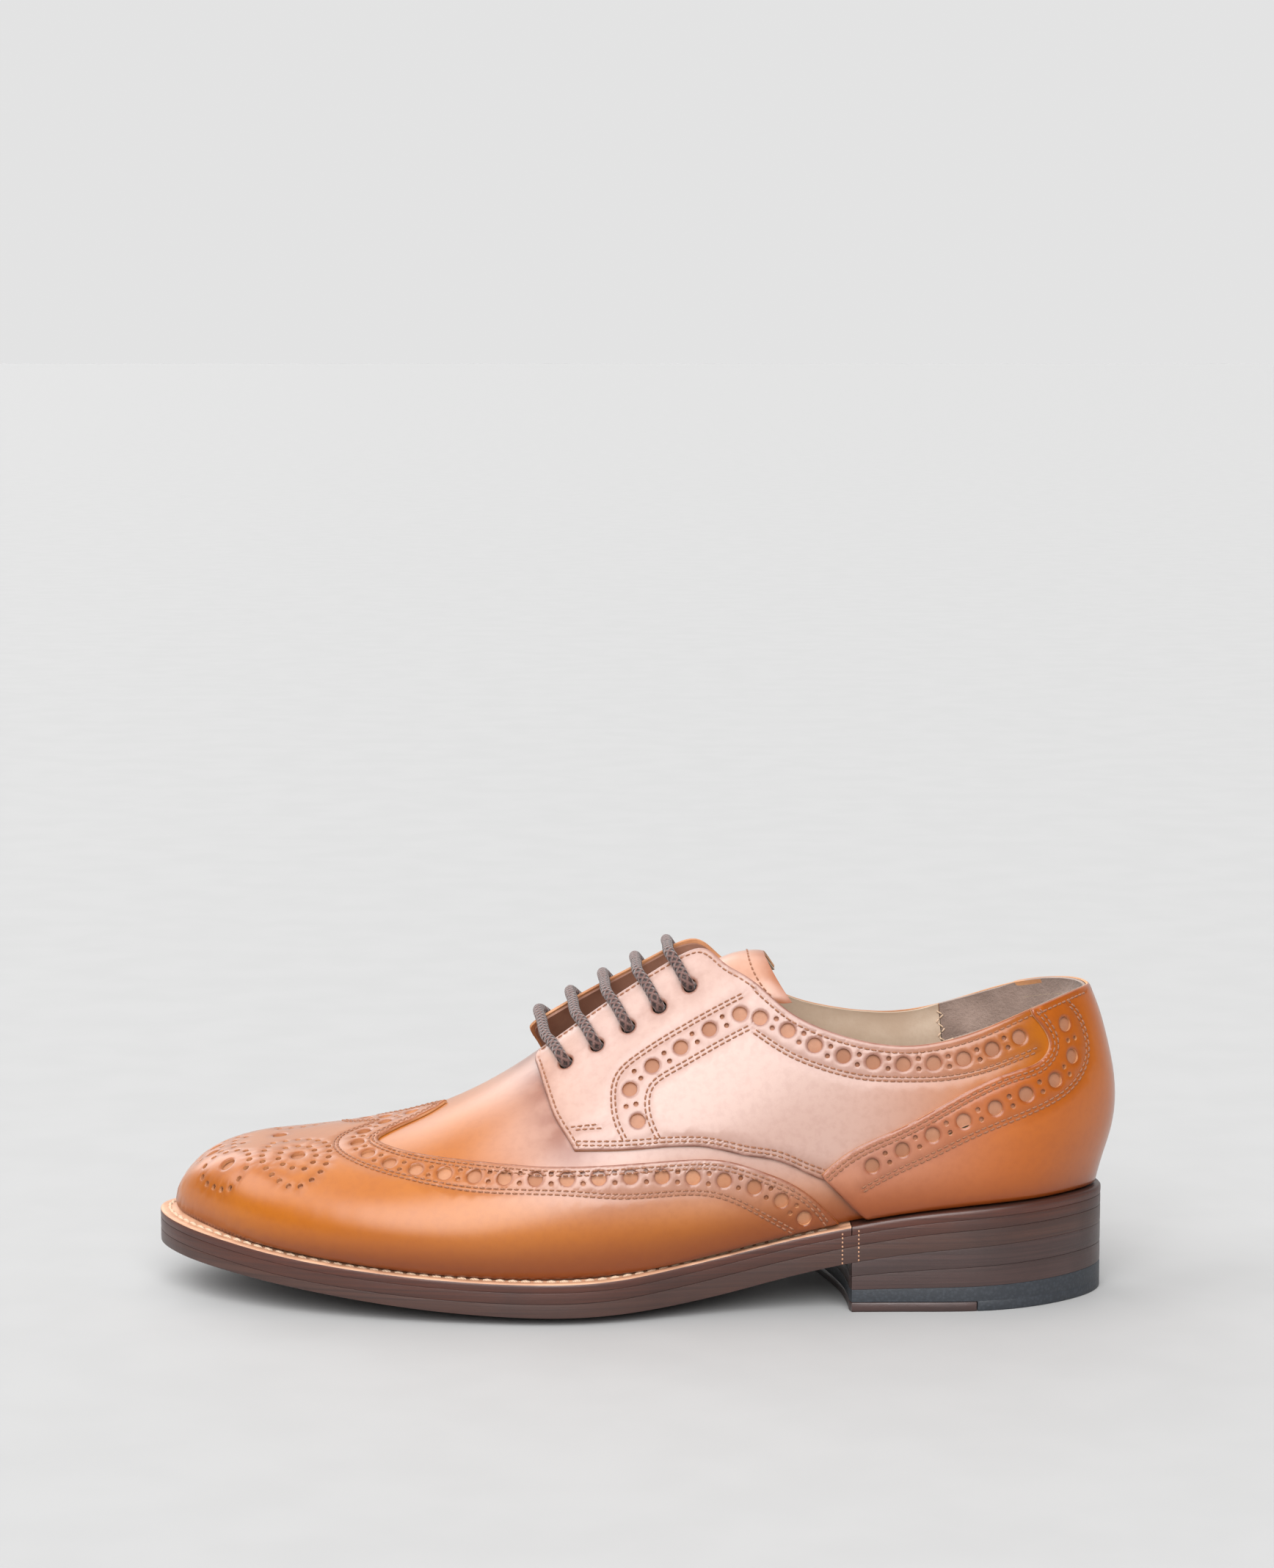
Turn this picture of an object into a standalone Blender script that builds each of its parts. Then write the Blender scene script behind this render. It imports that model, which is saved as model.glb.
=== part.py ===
"""A left men's derby shoe with brogue styling: welted leather sole, stacked heel, laced upper.

The toe points along -X, the heel along +X, the outer (lateral) side faces -Y, and the shoe stands on
Z = 0. Every leather piece is cut on the skin of one last. A place on the skin is (x, v): the station x
along the shoe and the girth fraction v, which is 0 on the ridge, -1 at the lateral feather edge and 1 at
the medial one.
All sizes are in millimetres and become metres when a mesh is made.
"""
import math

import bmesh
import bpy
import numpy as np
from mathutils.geometry import delaunay_2d_cdt

MM = 0.001

# ---- driving dimensions --------------------------------------------------------------------------------

TOE_X, HEEL_X = -145.0, 151.0
SOLE_TOE_X, SOLE_HEEL_X = -151.0, 146.3

# The middle of the shoe's bounding box, which becomes the object's origin.
ORIGIN = (0.0, -1.6, 0.0)

# The last: feather edge height, half widths, ridge line and the profile of the heel's back.
FEATHER_Z = [(-145, 24.8), (-125, 21.6), (-94, 17.8), (-53, 14.2), (-28, 13.5), (0, 15.2), (28, 20.4),
             (60, 27.0), (97, 31.6), (151, 33.2)]
LATERAL_Y = [(-145, 5), (-140, -7.5), (-132, -17.5), (-120, -28.7), (-100, -38.5), (-75, -44.8), (-45, -48),
             (-28, -48.2), (-5, -46), (20, -41.5), (45, -37), (70, -33), (97, -31), (115, -29.2),
             (130, -24.8), (143, -15.2), (151, 0)]
MEDIAL_Y = [(-145, 5), (-140, 15.3), (-132, 23.5), (-120, 31.7), (-100, 39), (-75, 43), (-45, 41.8),
            (-28, 37.5), (-5, 30.8), (20, 26.7), (45, 26.9), (70, 29), (97, 30.5), (115, 29.2),
            (130, 24.8), (143, 15.2), (151, 0)]
RIDGE_Y = [(-145, 5), (-100, 5), (-50, 4.5), (0, 4), (30, 3), (60, 0.5), (90, 0), (151, 0)]
RIDGE_Z = [(-145, 25.4), (-140.5, 35.6), (-136, 39.4), (-127, 43.1), (-118, 44.8), (-108, 46),
           (-90, 48.7), (-71.4, 53), (-52.8, 60.5), (-34.3, 71.6), (-10, 90.5), (20, 113), (45, 128),
           (75, 138), (110, 144), (151, 146)]
BACK_X = [(20, 140), (33, 142), (42, 144.2), (50, 146.6), (60, 148), (70, 147.2), (80, 145), (90, 142),
          (97, 139), (115, 132), (146, 125)]
BACK_LEAN_FROM = 60.0

# Cross sections as control points (share of half width, share of height), feather edge to ridge.
SECTIONS = {
    "toe": [(1, 0), (1.05, 0.12), (1.06, 0.38), (0.98, 0.68), (0.8, 0.9), (0.52, 1), (0.24, 1), (0, 1)],
    "ball": [(1, 0), (1.05, 0.08), (1.07, 0.24), (0.99, 0.47), (0.8, 0.7), (0.54, 0.89), (0.25, 1), (0, 1)],
    "instep": [(1, 0), (1.04, 0.07), (1.05, 0.2), (0.97, 0.42), (0.78, 0.65), (0.52, 0.86), (0.22, 1),
               (0, 1)],
    "rear": [(1, 0), (1.05, 0.05), (1.1, 0.16), (1.08, 0.32), (0.94, 0.52), (0.8, 0.75), (0.6, 1), (0, 1)],
}
SECTION_AT = [("toe", -145), ("toe", -118), ("ball", -50), ("instep", 15), ("rear", 75), ("rear", 151)]

# The sole edge: plan outline and the height of the welt's outer top edge.
SOLE_LATERAL_Y = [(-151, 4.5), (-146, -10.5), (-138, -20.5), (-125, -30.5), (-109, -38.5), (-94, -43.5),
                  (-73, -48.5), (-53, -51.5), (-35, -53), (-21, -52.8), (-5, -50), (11, -45), (28, -40.5),
                  (45, -37.5), (60, -36.5), (84, -36), (106, -35), (117, -32), (133, -22.5), (146.3, 0)]
SOLE_MEDIAL_Y = [(-151, 4.5), (-146, 19), (-138, 27.5), (-120, 38.5), (-100, 45.5), (-75, 49.5),
                 (-45, 48), (-28, 43), (-5, 35), (20, 30), (45, 30.5), (70, 33.5), (97, 35.5), (115, 33),
                 (133, 22.5), (146.3, 0)]
EDGE_Z = [(-151, 24.2), (-127, 21), (-109, 18.4), (-80, 15.4), (-53, 13.7), (-28, 13.1), (-5, 13.9),
          (11, 16), (28, 19.1), (45, 22.7), (62, 26.1), (84, 29.8), (106, 31.9), (146.3, 32.6)]
SOLE_LOW_Z = [(-151, 14), (-127, 11.4), (-94, 7.3), (-66, 4.4), (-40, 2.8), (-10, 2.7), (11, 4.4),
              (28, 7.2), (45, 11), (62, 14.7), (84, 18.2), (106, 20.2), (146.3, 20.8)]
WELT, MIDSOLE, GAP = 2.8, 3.1, 0.3
CROWN, CROWN_END_X = 2.7, 55.0
WELT_END_X = 66.0

SHANK_X, SHANK_LENGTH, SHANK_WIDTH, SHANK_THICK = 42.0, 76.0, 13.0, 1.0

# The heel.
BREAST = [(65.3, -40), (64.4, -18), (61, 0), (55.5, 18), (47, 36)]
TOP_PIECE_FRONT, TOP_PIECE_BACK = 7.0, 8.6
INSERT_LENGTH, INSERT_THICK = 39.5, 3.0

# Leather layers: distances from the last's skin of the flesh side and the grain side.
VAMP_LAYER = (-1.1, 0.0)
LINING_LAYER = (-2.8, -1.9)
OVER_LAYER = (0.6, 1.6)
COUNTER_LAYER = (2.2, 3.2)
FACING_LINING_LAYER = (-1.1, -0.1)

# Pattern lines as (station, girth fraction).
WING_EDGE = [(-60, 0), (-65, 0.08), (-72, 0.14), (-78, 0.21), (-80.5, 0.26), (-77, 0.36), (-67, 0.455),
             (-50, 0.54), (-29, 0.62), (-8, 0.67), (12, 0.71), (26, 0.75), (38, 0.81), (49, 0.875),
             (57, 0.945), (62, 1)]
VAMP_FRONT = [(-70, 0), (-76, 0.08), (-84, 0.16), (-89, 0.26), (-86, 0.38), (-74, 0.5), (-54, 0.6),
              (-30, 0.685), (-8, 0.735), (12, 0.775), (24, 0.815), (34, 0.87), (44, 0.94), (51, 1)]
VAMP_REAR = [(-27.8, 0), (-28.4, 0.16), (-28, 0.29), (-25.6, 0.38), (-21.5, 0.46), (-12, 0.53), (0, 0.57),
             (16, 0.61), (32, 0.66), (48, 0.73), (62, 0.84), (72, 1)]
FACING_FRONT = [(-22.5, 0.52), (-25, 0.46), (-27, 0.38), (-29, 0.27), (-30.3, 0.18)]
FACING_CORNER = [(-30.3, 0.18), (-29.6, 0.14), (-26, 0.13)]
FACING_EDGE = [(-26, 0.13), (14, 0.13)]
FACING_TOP = [(14, 0.13), (21, 0.15), (28, 0.235), (32, 0.275), (37, 0.325)]
FACING_SPLIT = [(37, 0.325), (22, 0.365), (7.5, 0.415), (-8, 0.475), (-22.5, 0.52)]
SPLIT_GAP = 0.009
QUARTER_LOW = [(-19, 0.595), (-5, 0.635), (11, 0.67), (22, 0.705), (34, 0.76), (42, 0.79), (51, 0.84),
               (62, 0.89), (80, 0.86), (102, 0.79), (121, 0.75), (134, 0.715), (140, 0.65), (141, 0.58),
               (139, 0.505)]
TOPLINE = [(37.5, 0.33), (47, 0.43), (62, 0.52), (78, 0.572), (95, 0.582), (113, 0.56), (134, 0.51),
           (151, 0.45)]
COUNTER_UP = [(56, 0.855), (63, 0.82), (79, 0.78), (102, 0.71), (120, 0.67), (129, 0.645), (132, 0.61),
              (131, 0.57), (129, 0.54)]
COUNTER_TOP = [(129, 0.526), (140, 0.492), (151, 0.45)]
COUNTER_FRONT = [(56, 0.86), (63, 0.93), (70.5, 1)]
PUFF_LAYER = (-1.3, -0.4)
PUFF_EDGE = [(-107, 0), (-109, 0.4), (-112, 1)]
LINING_JOIN = [(-8, 0.6), (4, 0.628), (14, 0.69), (21, 0.8), (25, 1)]
HEEL_GRIP_X = 100.0

# Lacing.
EYELET_X = [-21.0, -11.5, -2.0, 7.5, 17.0]
EYELET_V = [0.275, 0.275, 0.268, 0.256, 0.24]
BAR_LEAN, BAR_CLEAR = -4.2, 0.8
LACE_THROUGH = [(-5.0, 0), (-2.6, 0), (-0.2, 0), (1.4, 0.4), (2.5, 1.8)]
FACING_LIFT = {-1: 2.2, 1: 8.6}
FACING_HOLE_R, LINING_HOLE_R = 2.6, 3.4
BARREL_R, BARREL_IN_R, FLANGE_R, FLANGE = 2.95, 2.6, 4.0, 0.4
FLANGE_GAP = 0.65
UNDER_DEPTH = {-1: -4.6, 1: -5.4}
LACE_R = 1.75
LACE_FINE, LACE_COARSE = 3.7, 9.5
TAIL_CLEAR = 1.4
TAIL_DEPTH = {-1: -6.2, 1: -5.2}
TAIL_FLOOR = {-1: [(-14, -34), (-34, -37.5), (-58, -37), (-82, -32), (-99, -24), (-104, -14), (-97, -7),
                   (-80, -7)],
              1: [(-8, 20), (-30, 27), (-54, 31), (-78, 31), (-93, 25), (-97, 16), (-88, 10), (-72, 9)]}

# The tongue: its centre line's outer face as (x, z), and its section.
TONGUE_LINE = [(-37, 67.5), (-28, 73.2), (-15, 80.0), (0, 89.3), (14, 97.8), (24, 103.4), (31, 106.2),
               (39.6, 107)]
TONGUE_Y = -1.8
TONGUE_R, TONGUE_LEAN = 17.5, 9.0
TONGUE_HALVES = {-1: (22.0, 25.0), 1: (14.5, 17.0)}
TONGUE_THICK, TONGUE_LINING = 1.4, 0.8

# Sampling of the meshes: the size of a cell, and how it shrinks towards the toe's tight curve.
CELL = 9.0
TOE_CELL, TOE_REACH = 4.0, 50.0
RIM_STEP = 5.0

MATERIALS = {
    "tan_calf": ((0.52, 0.22, 0.09), 0.32, 0),
    "counter_calf": ((0.46, 0.17, 0.05), 0.32, 0),
    "lining_leather": ((0.46, 0.36, 0.26), 0.7, 0),
    "heel_suede": ((0.32, 0.24, 0.19), 0.95, 0),
    "welt_leather": ((0.3, 0.17, 0.11), 0.55, 0),
    "midsole_leather": ((0.19, 0.09, 0.07), 0.6, 0),
    "outsole_leather": ((0.11, 0.08, 0.07), 0.6, 0),
    "lift_leather": ((0.1, 0.065, 0.055), 0.6, 0),
    "rubber": ((0.05, 0.055, 0.065), 0.75, 0),
    "insole_leather": ((0.5, 0.36, 0.24), 0.8, 0),
    "cork": ((0.35, 0.21, 0.11), 0.9, 0),
    "fibreboard": ((0.42, 0.36, 0.28), 0.85, 0),
    "spring_steel": ((0.55, 0.55, 0.57), 0.35, 1),
    "brass": ((0.5, 0.35, 0.15), 0.35, 1),
    "brown_cotton": ((0.07, 0.04, 0.035), 0.8, 0),
    "brown_plastic": ((0.06, 0.035, 0.03), 0.35, 0),
}


# ---- curves and surfaces -------------------------------------------------------------------------------

def spline(knots, values, x):
    """Natural cubic spline through the knots, evaluated at x."""
    knots = np.asarray(knots, float)
    values = np.asarray(values, float)
    x = np.asarray(x, float)
    n = len(knots)
    h = np.diff(knots)
    system = np.eye(n)
    rhs = np.zeros(n)
    for i in range(1, n - 1):
        system[i, i - 1:i + 2] = h[i - 1], 2 * (h[i - 1] + h[i]), h[i]
        rhs[i] = 6 * ((values[i + 1] - values[i]) / h[i] - (values[i] - values[i - 1]) / h[i - 1])
    bend = np.linalg.solve(system, rhs)
    i = np.clip(np.searchsorted(knots, x) - 1, 0, n - 2)
    a = (knots[i + 1] - x) / h[i]
    b = (x - knots[i]) / h[i]
    cubic = (a ** 3 - a) * bend[i] + (b ** 3 - b) * bend[i + 1]
    return a * values[i] + b * values[i + 1] + cubic * h[i] ** 2 / 6


def station_angle(x, first=TOE_X, last=HEEL_X):
    """Maps stations to 0..pi so that outlines close with a round end."""
    return np.arccos(np.clip(1 - 2 * (np.asarray(x, float) - first) / (last - first), -1, 1))


def station_x(angle, first=TOE_X, last=HEEL_X):
    return first + (last - first) * (1 - np.cos(angle)) / 2


def along(rows, x, first=TOE_X, last=HEEL_X):
    """A table of (x, value) as a smooth function of the station."""
    rows = np.asarray(rows, float)
    return spline(station_angle(rows[:, 0], first, last), rows[:, 1], station_angle(x, first, last))


def smooth_step(t):
    t = np.clip(t, 0, 1)
    return t * t * t * (10 - 15 * t + 6 * t * t)


def bspline_basis(count, t):
    """Clamped uniform cubic B-spline basis, one row for each t."""
    knots = np.concatenate([np.zeros(3), np.linspace(0, 1, count - 2), np.ones(3)])
    basis = ((t[:, None] >= knots[None, :-1]) & (t[:, None] < knots[None, 1:])).astype(float)
    basis[t >= 1, count - 1] = 1
    for degree in range(1, 4):
        raised = np.zeros((len(t), basis.shape[1] - 1))
        for i in range(raised.shape[1]):
            left = knots[i + degree] - knots[i]
            right = knots[i + degree + 1] - knots[i + 1]
            if left > 0:
                raised[:, i] += (t - knots[i]) / left * basis[:, i]
            if right > 0:
                raised[:, i] += (knots[i + degree + 1] - t) / right * basis[:, i + 1]
        basis = raised
    return basis


def section_curves(x, t, side):
    """Points on the sections at stations x, from the feather edge (t = 0) to the ridge (t = 1)."""
    low = along(FEATHER_Z, x)
    centre = along(RIDGE_Y, x)
    high = along(RIDGE_Z, x)
    edge = along(LATERAL_Y if side < 0 else MEDIAL_Y, x)
    stations = [at for name, at in SECTION_AT]
    controls = np.array([SECTIONS[name] for name, at in SECTION_AT], float)
    angle = station_angle(x)
    blend = np.array([[np.interp(angle, station_angle(stations), controls[:, k, c]) for c in (0, 1)]
                      for k in range(controls.shape[1])])
    shares = np.einsum("tk,kcx->cxt", bspline_basis(controls.shape[1], t), blend)
    y = centre[:, None] + (edge - centre)[:, None] * shares[0]
    z = low[:, None] + (high - low)[:, None] * shares[1]
    back = np.array(BACK_X, float)
    lean = spline(back[:, 0], back[:, 1], np.clip(z, back[0, 0], back[-1, 0])) - HEEL_X
    share = smooth_step((x - BACK_LEAN_FROM) / (HEEL_X - BACK_LEAN_FROM))
    return np.stack([x[:, None] + share[:, None] * lean, y, z], -1)


class Skin:
    """The last's skin as a dense grid over (station angle, girth fraction)."""

    def __init__(self, stations=181, half=80):
        self.angles = np.linspace(0, math.pi, stations)
        self.half = half
        self.x = station_x(self.angles)
        self.points = np.zeros((stations, 2 * half + 1, 3))
        self.girth = np.zeros((2, stations))
        share = np.linspace(0, 1, half + 1)
        for k, side in enumerate((-1, 1)):
            curves = section_curves(self.x, np.linspace(0, 1, 320), side)
            steps = np.linalg.norm(np.diff(curves, axis=1), axis=2)
            length = np.concatenate([np.zeros((stations, 1)), np.cumsum(steps, 1)], 1)
            self.girth[k] = length[:, -1]
            for i in range(stations):
                run = length[i] / max(length[i, -1], 1e-9)
                row = np.stack([np.interp(share, run, curves[i, :, c]) for c in range(3)], -1)
                if side < 0:
                    self.points[i, :half + 1] = row
                else:
                    self.points[i, half:] = row[::-1]
        along_x = np.gradient(self.points, axis=0)
        along_v = np.gradient(self.points, axis=1)
        normals = np.cross(along_x, along_v)
        normals[0] = normals[1].mean(0)
        self.normals = normals / np.maximum(np.linalg.norm(normals, axis=2, keepdims=True), 1e-12)
        row = self.points[:, round(half * 0.4)]
        self.reach = np.concatenate([[0], np.cumsum(np.linalg.norm(np.diff(row, axis=0), axis=1))])

    def at(self, x, v, offset=0.0):
        """Points at stations x and girth fractions v, offset outwards and kept above the feather edge."""
        x = np.asarray(x, float)
        v = np.asarray(v, float)
        a = station_angle(x) / math.pi * (len(self.angles) - 1)
        b = (np.clip(v, -1, 1) + 1) * self.half
        i = np.clip(a.astype(int), 0, len(self.angles) - 2)
        j = np.clip(b.astype(int), 0, 2 * self.half - 1)
        p = (a - i)[..., None]
        q = (b - j)[..., None]

        def mix(grid):
            low = grid[i, j] * (1 - p) + grid[i + 1, j] * p
            high = grid[i, j + 1] * (1 - p) + grid[i + 1, j + 1] * p
            return low * (1 - q) + high * q

        normal = mix(self.normals)
        normal /= np.maximum(np.linalg.norm(normal, axis=-1, keepdims=True), 1e-12)
        point = mix(self.points) + np.asarray(offset, float)[..., None] * normal
        floor = mix(self.points[:, [0]] * np.ones((1, 2 * self.half + 1, 1)))[..., 2]
        point[..., 2] = np.maximum(point[..., 2], floor)
        return point

    def girth_at(self, x, v):
        lateral = np.interp(station_angle(x), self.angles, self.girth[0])
        medial = np.interp(station_angle(x), self.angles, self.girth[1])
        return np.where(np.asarray(v, float) < 0, lateral, medial)

    def reach_at(self, x):
        return np.interp(station_angle(x), self.angles, self.reach)

    def flat(self, x, v):
        """The skin laid flat about the ridge line."""
        x = np.asarray(x, float)
        v = np.asarray(v, float)
        return np.stack([self.reach_at(x), v * self.girth_at(x, v)], -1)

    def flat_heel(self, x, v):
        """The skin of the heel laid flat about the back seam."""
        x = np.asarray(x, float)
        v = np.asarray(v, float)
        around = np.where(v < 0, -1, 1) * (self.reach[-1] - self.reach_at(x))
        return np.stack([around, self.at(x, v)[..., 2]], -1)


SKIN = Skin()


def facing_lift(x, v):
    """How far the facings stand off the last, from their fold up to their laced edge."""
    fold = np.interp(x, [p[0] for p in FACING_SPLIT[::-1]], [p[1] for p in FACING_SPLIT[::-1]])
    edge = FACING_EDGE[0][1]
    share = np.clip((fold - np.abs(v)) / (fold - edge), 0, 1.3) ** 1.5
    return share * np.where(np.asarray(v) < 0, FACING_LIFT[-1], FACING_LIFT[1])


def on_skin(offset):
    return lambda x, v: SKIN.at(x, v, offset)


def on_facing(offset):
    return lambda x, v: SKIN.at(x, v, offset + facing_lift(x, v))


def tangent_frame(place, x, v):
    """Origin, two unit tangents, normal and the step in (x, v) for 1 mm along each tangent."""
    dx, dv = 0.05, 0.0005
    origin, ahead, behind, above, below = place(np.array([x, x + dx, x - dx, x, x]),
                                                np.array([v, v, v, v + dv, v - dv]))
    by_x = (ahead - behind) / (2 * dx)
    by_v = (above - below) / (2 * dv)
    first = by_x / np.linalg.norm(by_x)
    normal = np.cross(by_x, by_v)
    normal /= np.linalg.norm(normal)
    second = np.cross(normal, first)
    jacobian = np.stack([by_x, by_v], 1)
    inverse = np.linalg.pinv(jacobian)
    return origin, first, second, normal, inverse


def beneath(place, x, v, point):
    """The (x, v) of a surface where it passes through a point near to it."""
    origin, _, _, _, inverse = tangent_frame(place, x, v)
    return np.array([x, v]) + inverse @ (point - origin)


def round_hole(place, x, v, radius, corners=10):
    """A circle on a surface, as (x, v) points."""
    origin, first, second, normal, inverse = tangent_frame(place, x, v)
    turns = np.arange(corners) * 2 * math.pi / corners
    ring = radius * (np.cos(turns)[:, None] * first + np.sin(turns)[:, None] * second)
    return np.array([x, v]) + ring @ inverse.T


def run(points, flat=None, step=RIM_STEP, side=1):
    """A smooth line through (x, fraction) points, sampled evenly, without its last point."""
    points = np.array(points, float)
    points[:, 1] *= side
    scale = np.array([1.0, 100.0])
    chord = np.concatenate([[0], np.cumsum(np.linalg.norm(np.diff(points * scale, axis=0), axis=1))])
    dense = np.linspace(0, chord[-1], 200)
    line = np.stack([spline(chord, points[:, c], dense) for c in (0, 1)], -1)
    line[:, 1] = np.clip(line[:, 1], -1, 1)
    laid = (flat or SKIN.flat)(line[:, 0], line[:, 1])
    length = np.concatenate([[0], np.cumsum(np.linalg.norm(np.diff(laid, axis=0), axis=1))])
    count = max(1, round(length[-1] / step))
    places = np.linspace(0, length[-1], count + 1)[:-1]
    return np.stack([np.interp(places, length, line[:, c]) for c in (0, 1)], -1)


def feather_run(start, end, side):
    """Stations along the feather edge from start up to, but without, end, shared by all the layers."""
    count = round(SKIN.reach[-1] / RIM_STEP)
    shared = np.interp(np.linspace(0, SKIN.reach[-1], count + 1), SKIN.reach, SKIN.x)
    between = shared[(shared > min(start, end) + 1.5) & (shared < max(start, end) - 1.5)]
    x = np.concatenate([[start], between if start < end else between[::-1]])
    return np.stack([x, np.full(len(x), side * 1.0)], -1)


def mirrored(half):
    """Closes a half outline that starts and ends on the centre line."""
    other = half[::-1] * [1, -1]
    return np.concatenate([half, other[1:-1]])


# ---- meshes --------------------------------------------------------------------------------------------

def material(name):
    if name in bpy.data.materials:
        return bpy.data.materials[name]
    colour, roughness, metallic = MATERIALS[name]
    made = bpy.data.materials.new(name)
    made.use_nodes = True
    shader = made.node_tree.nodes["Principled BSDF"]
    shader.inputs["Base Color"].default_value = (*colour, 1)
    shader.inputs["Roughness"].default_value = roughness
    shader.inputs["Metallic"].default_value = metallic
    return made


def make_object(name, vertices, faces, look, origin=(0, 0, 0), sharp=40):
    """A closed mesh in metres with outward faces and its origin at the given place in millimetres."""
    mesh = bpy.data.meshes.new(name)
    origin = np.asarray(origin, float)
    mesh.from_pydata(((np.asarray(vertices) - origin) * MM).tolist(), [], [list(f) for f in faces])
    body = bmesh.new()
    body.from_mesh(mesh)
    bmesh.ops.triangulate(body, faces=body.faces[:])
    bmesh.ops.recalc_face_normals(body, faces=body.faces[:])
    if body.calc_volume(signed=True) < 0:
        bmesh.ops.reverse_faces(body, faces=body.faces[:])
    body.to_mesh(mesh)
    body.free()
    mesh.shade_smooth()
    mesh.set_sharp_from_angle(angle=math.radians(sharp))
    mesh.materials.append(material(look))
    made = bpy.data.objects.new(name, mesh)
    made.location = (origin - ORIGIN) * MM
    bpy.context.collection.objects.link(made)
    return made


def inside(points, loop):
    """Which 2-D points lie inside a closed loop."""
    points = np.asarray(points, float)
    x, y = points[:, 0][:, None], points[:, 1][:, None]
    a, b = loop, np.roll(loop, -1, axis=0)
    crosses = (a[:, 1] > y) != (b[:, 1] > y)
    rise = np.where(np.abs(b[:, 1] - a[:, 1]) < 1e-12, 1e-12, b[:, 1] - a[:, 1])
    at = a[:, 0] + (y - a[:, 1]) * (b[:, 0] - a[:, 0]) / rise
    return ((x < at) & crosses).sum(1) % 2 == 1


def rim_distance(points, loop):
    a, b = loop, np.roll(loop, -1, axis=0)
    edge = b - a
    away = points[:, None] - a
    share = np.clip((away * edge).sum(-1) / np.maximum((edge ** 2).sum(-1), 1e-12), 0, 1)
    return np.linalg.norm(away - share[..., None] * edge, axis=-1).min(1)


def cut_body(name, loops, filling, flat, outer, inner, look, margin=2.6, **options):
    """A sheet cut along loops, the first one its rim and the others its holes, between two surfaces."""
    laid = [flat(loop[:, 0], loop[:, 1]) for loop in loops]
    places = flat(filling[:, 0], filling[:, 1])
    keep = inside(places, laid[0])
    for k, loop in enumerate(laid):
        if k:
            keep &= ~inside(places, loop)
        keep &= rim_distance(places, loop) > (margin if k == 0 else 1.5)
    params = np.concatenate(loops + [filling[keep]])
    plane = np.concatenate(laid + [places[keep]])
    edges = []
    start = 0
    for loop in loops:
        count = len(loop)
        edges += [(start + i, start + (i + 1) % count) for i in range(count)]
        start += count
    net = delaunay_2d_cdt([tuple(p) for p in plane], edges, [], 0, 1e-6)
    corners, triangles, sources = net[0], net[2], net[3]
    params = params[[s[0] for s in sources]]
    flat_points = np.array([tuple(c) for c in corners])
    centres = flat_points[np.array(triangles)].mean(1)
    kept = inside(centres, laid[0])
    for loop in laid[1:]:
        kept &= ~inside(centres, loop)
    faces = [t for t, k in zip(triangles, kept) if k]
    used = sorted({i for face in faces for i in face})
    order = {old: new for new, old in enumerate(used)}
    faces = [[order[i] for i in face] for face in faces]
    params = params[used]
    top = outer(params[:, 0], params[:, 1])
    bottom = inner(params[:, 0], params[:, 1])
    count = len(used)
    halves = {}
    for face in faces:
        for i in range(3):
            halves[(face[i], face[(i + 1) % 3])] = True
    walls = [[b, a, a + count, b + count] for a, b in halves if (b, a) not in halves]
    lower = [[i + count for i in face[::-1]] for face in faces]
    return make_object(name, np.concatenate([top, bottom]), faces + lower + walls, look, **options)


def grid_body(name, outer, inner, look, **options):
    """A closed body between two grids of points."""
    rows, columns = outer.shape[:2]
    count = rows * columns

    def at(i, j):
        return i * columns + j

    faces = []
    for i in range(rows - 1):
        for j in range(columns - 1):
            quad = [at(i, j), at(i, j + 1), at(i + 1, j + 1), at(i + 1, j)]
            faces += [quad, [k + count for k in quad[::-1]]]
    rim = [at(0, j) for j in range(columns)] + [at(i, columns - 1) for i in range(1, rows)]
    rim += [at(rows - 1, j) for j in range(columns - 2, -1, -1)]
    rim += [at(i, 0) for i in range(rows - 2, 0, -1)]
    for a, b in zip(rim, rim[1:] + rim[:1]):
        faces.append([b, a, a + count, b + count])
    vertices = np.concatenate([outer.reshape(-1, 3), inner.reshape(-1, 3)])
    return make_object(name, vertices, faces, look, **options)


def skin_filling():
    """Places spread evenly over the skin, shared by all layers so that they nest."""
    places = []
    reach = 0
    while reach < SKIN.reach[-1] - 1e-6:
        cell = TOE_CELL + (CELL - TOE_CELL) * min(1, reach / TOE_REACH)
        reach = min(reach + cell, SKIN.reach[-1])
        x = float(np.interp(reach, SKIN.reach, SKIN.x))
        for side in (-1, 1):
            rows = max(2, round(float(SKIN.girth_at(x, side)) / cell))
            places += [(x, side * j / rows) for j in range(0 if side < 0 else 1, rows)]
    return np.array(places)


FILLING = skin_filling()
HEEL_SEAM = FILLING[(FILLING[:, 0] < HEEL_X - 1e-6) | (FILLING[:, 1] < 0)]


def leather(name, loops, layer, look, place=on_skin, flat=None, filling=FILLING, **options):
    flat = flat or SKIN.flat
    return cut_body(name, loops, filling, flat, place(layer[1]), place(layer[0]), look, **options)


# ---- the upper -----------------------------------------------------------------------------------------

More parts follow.
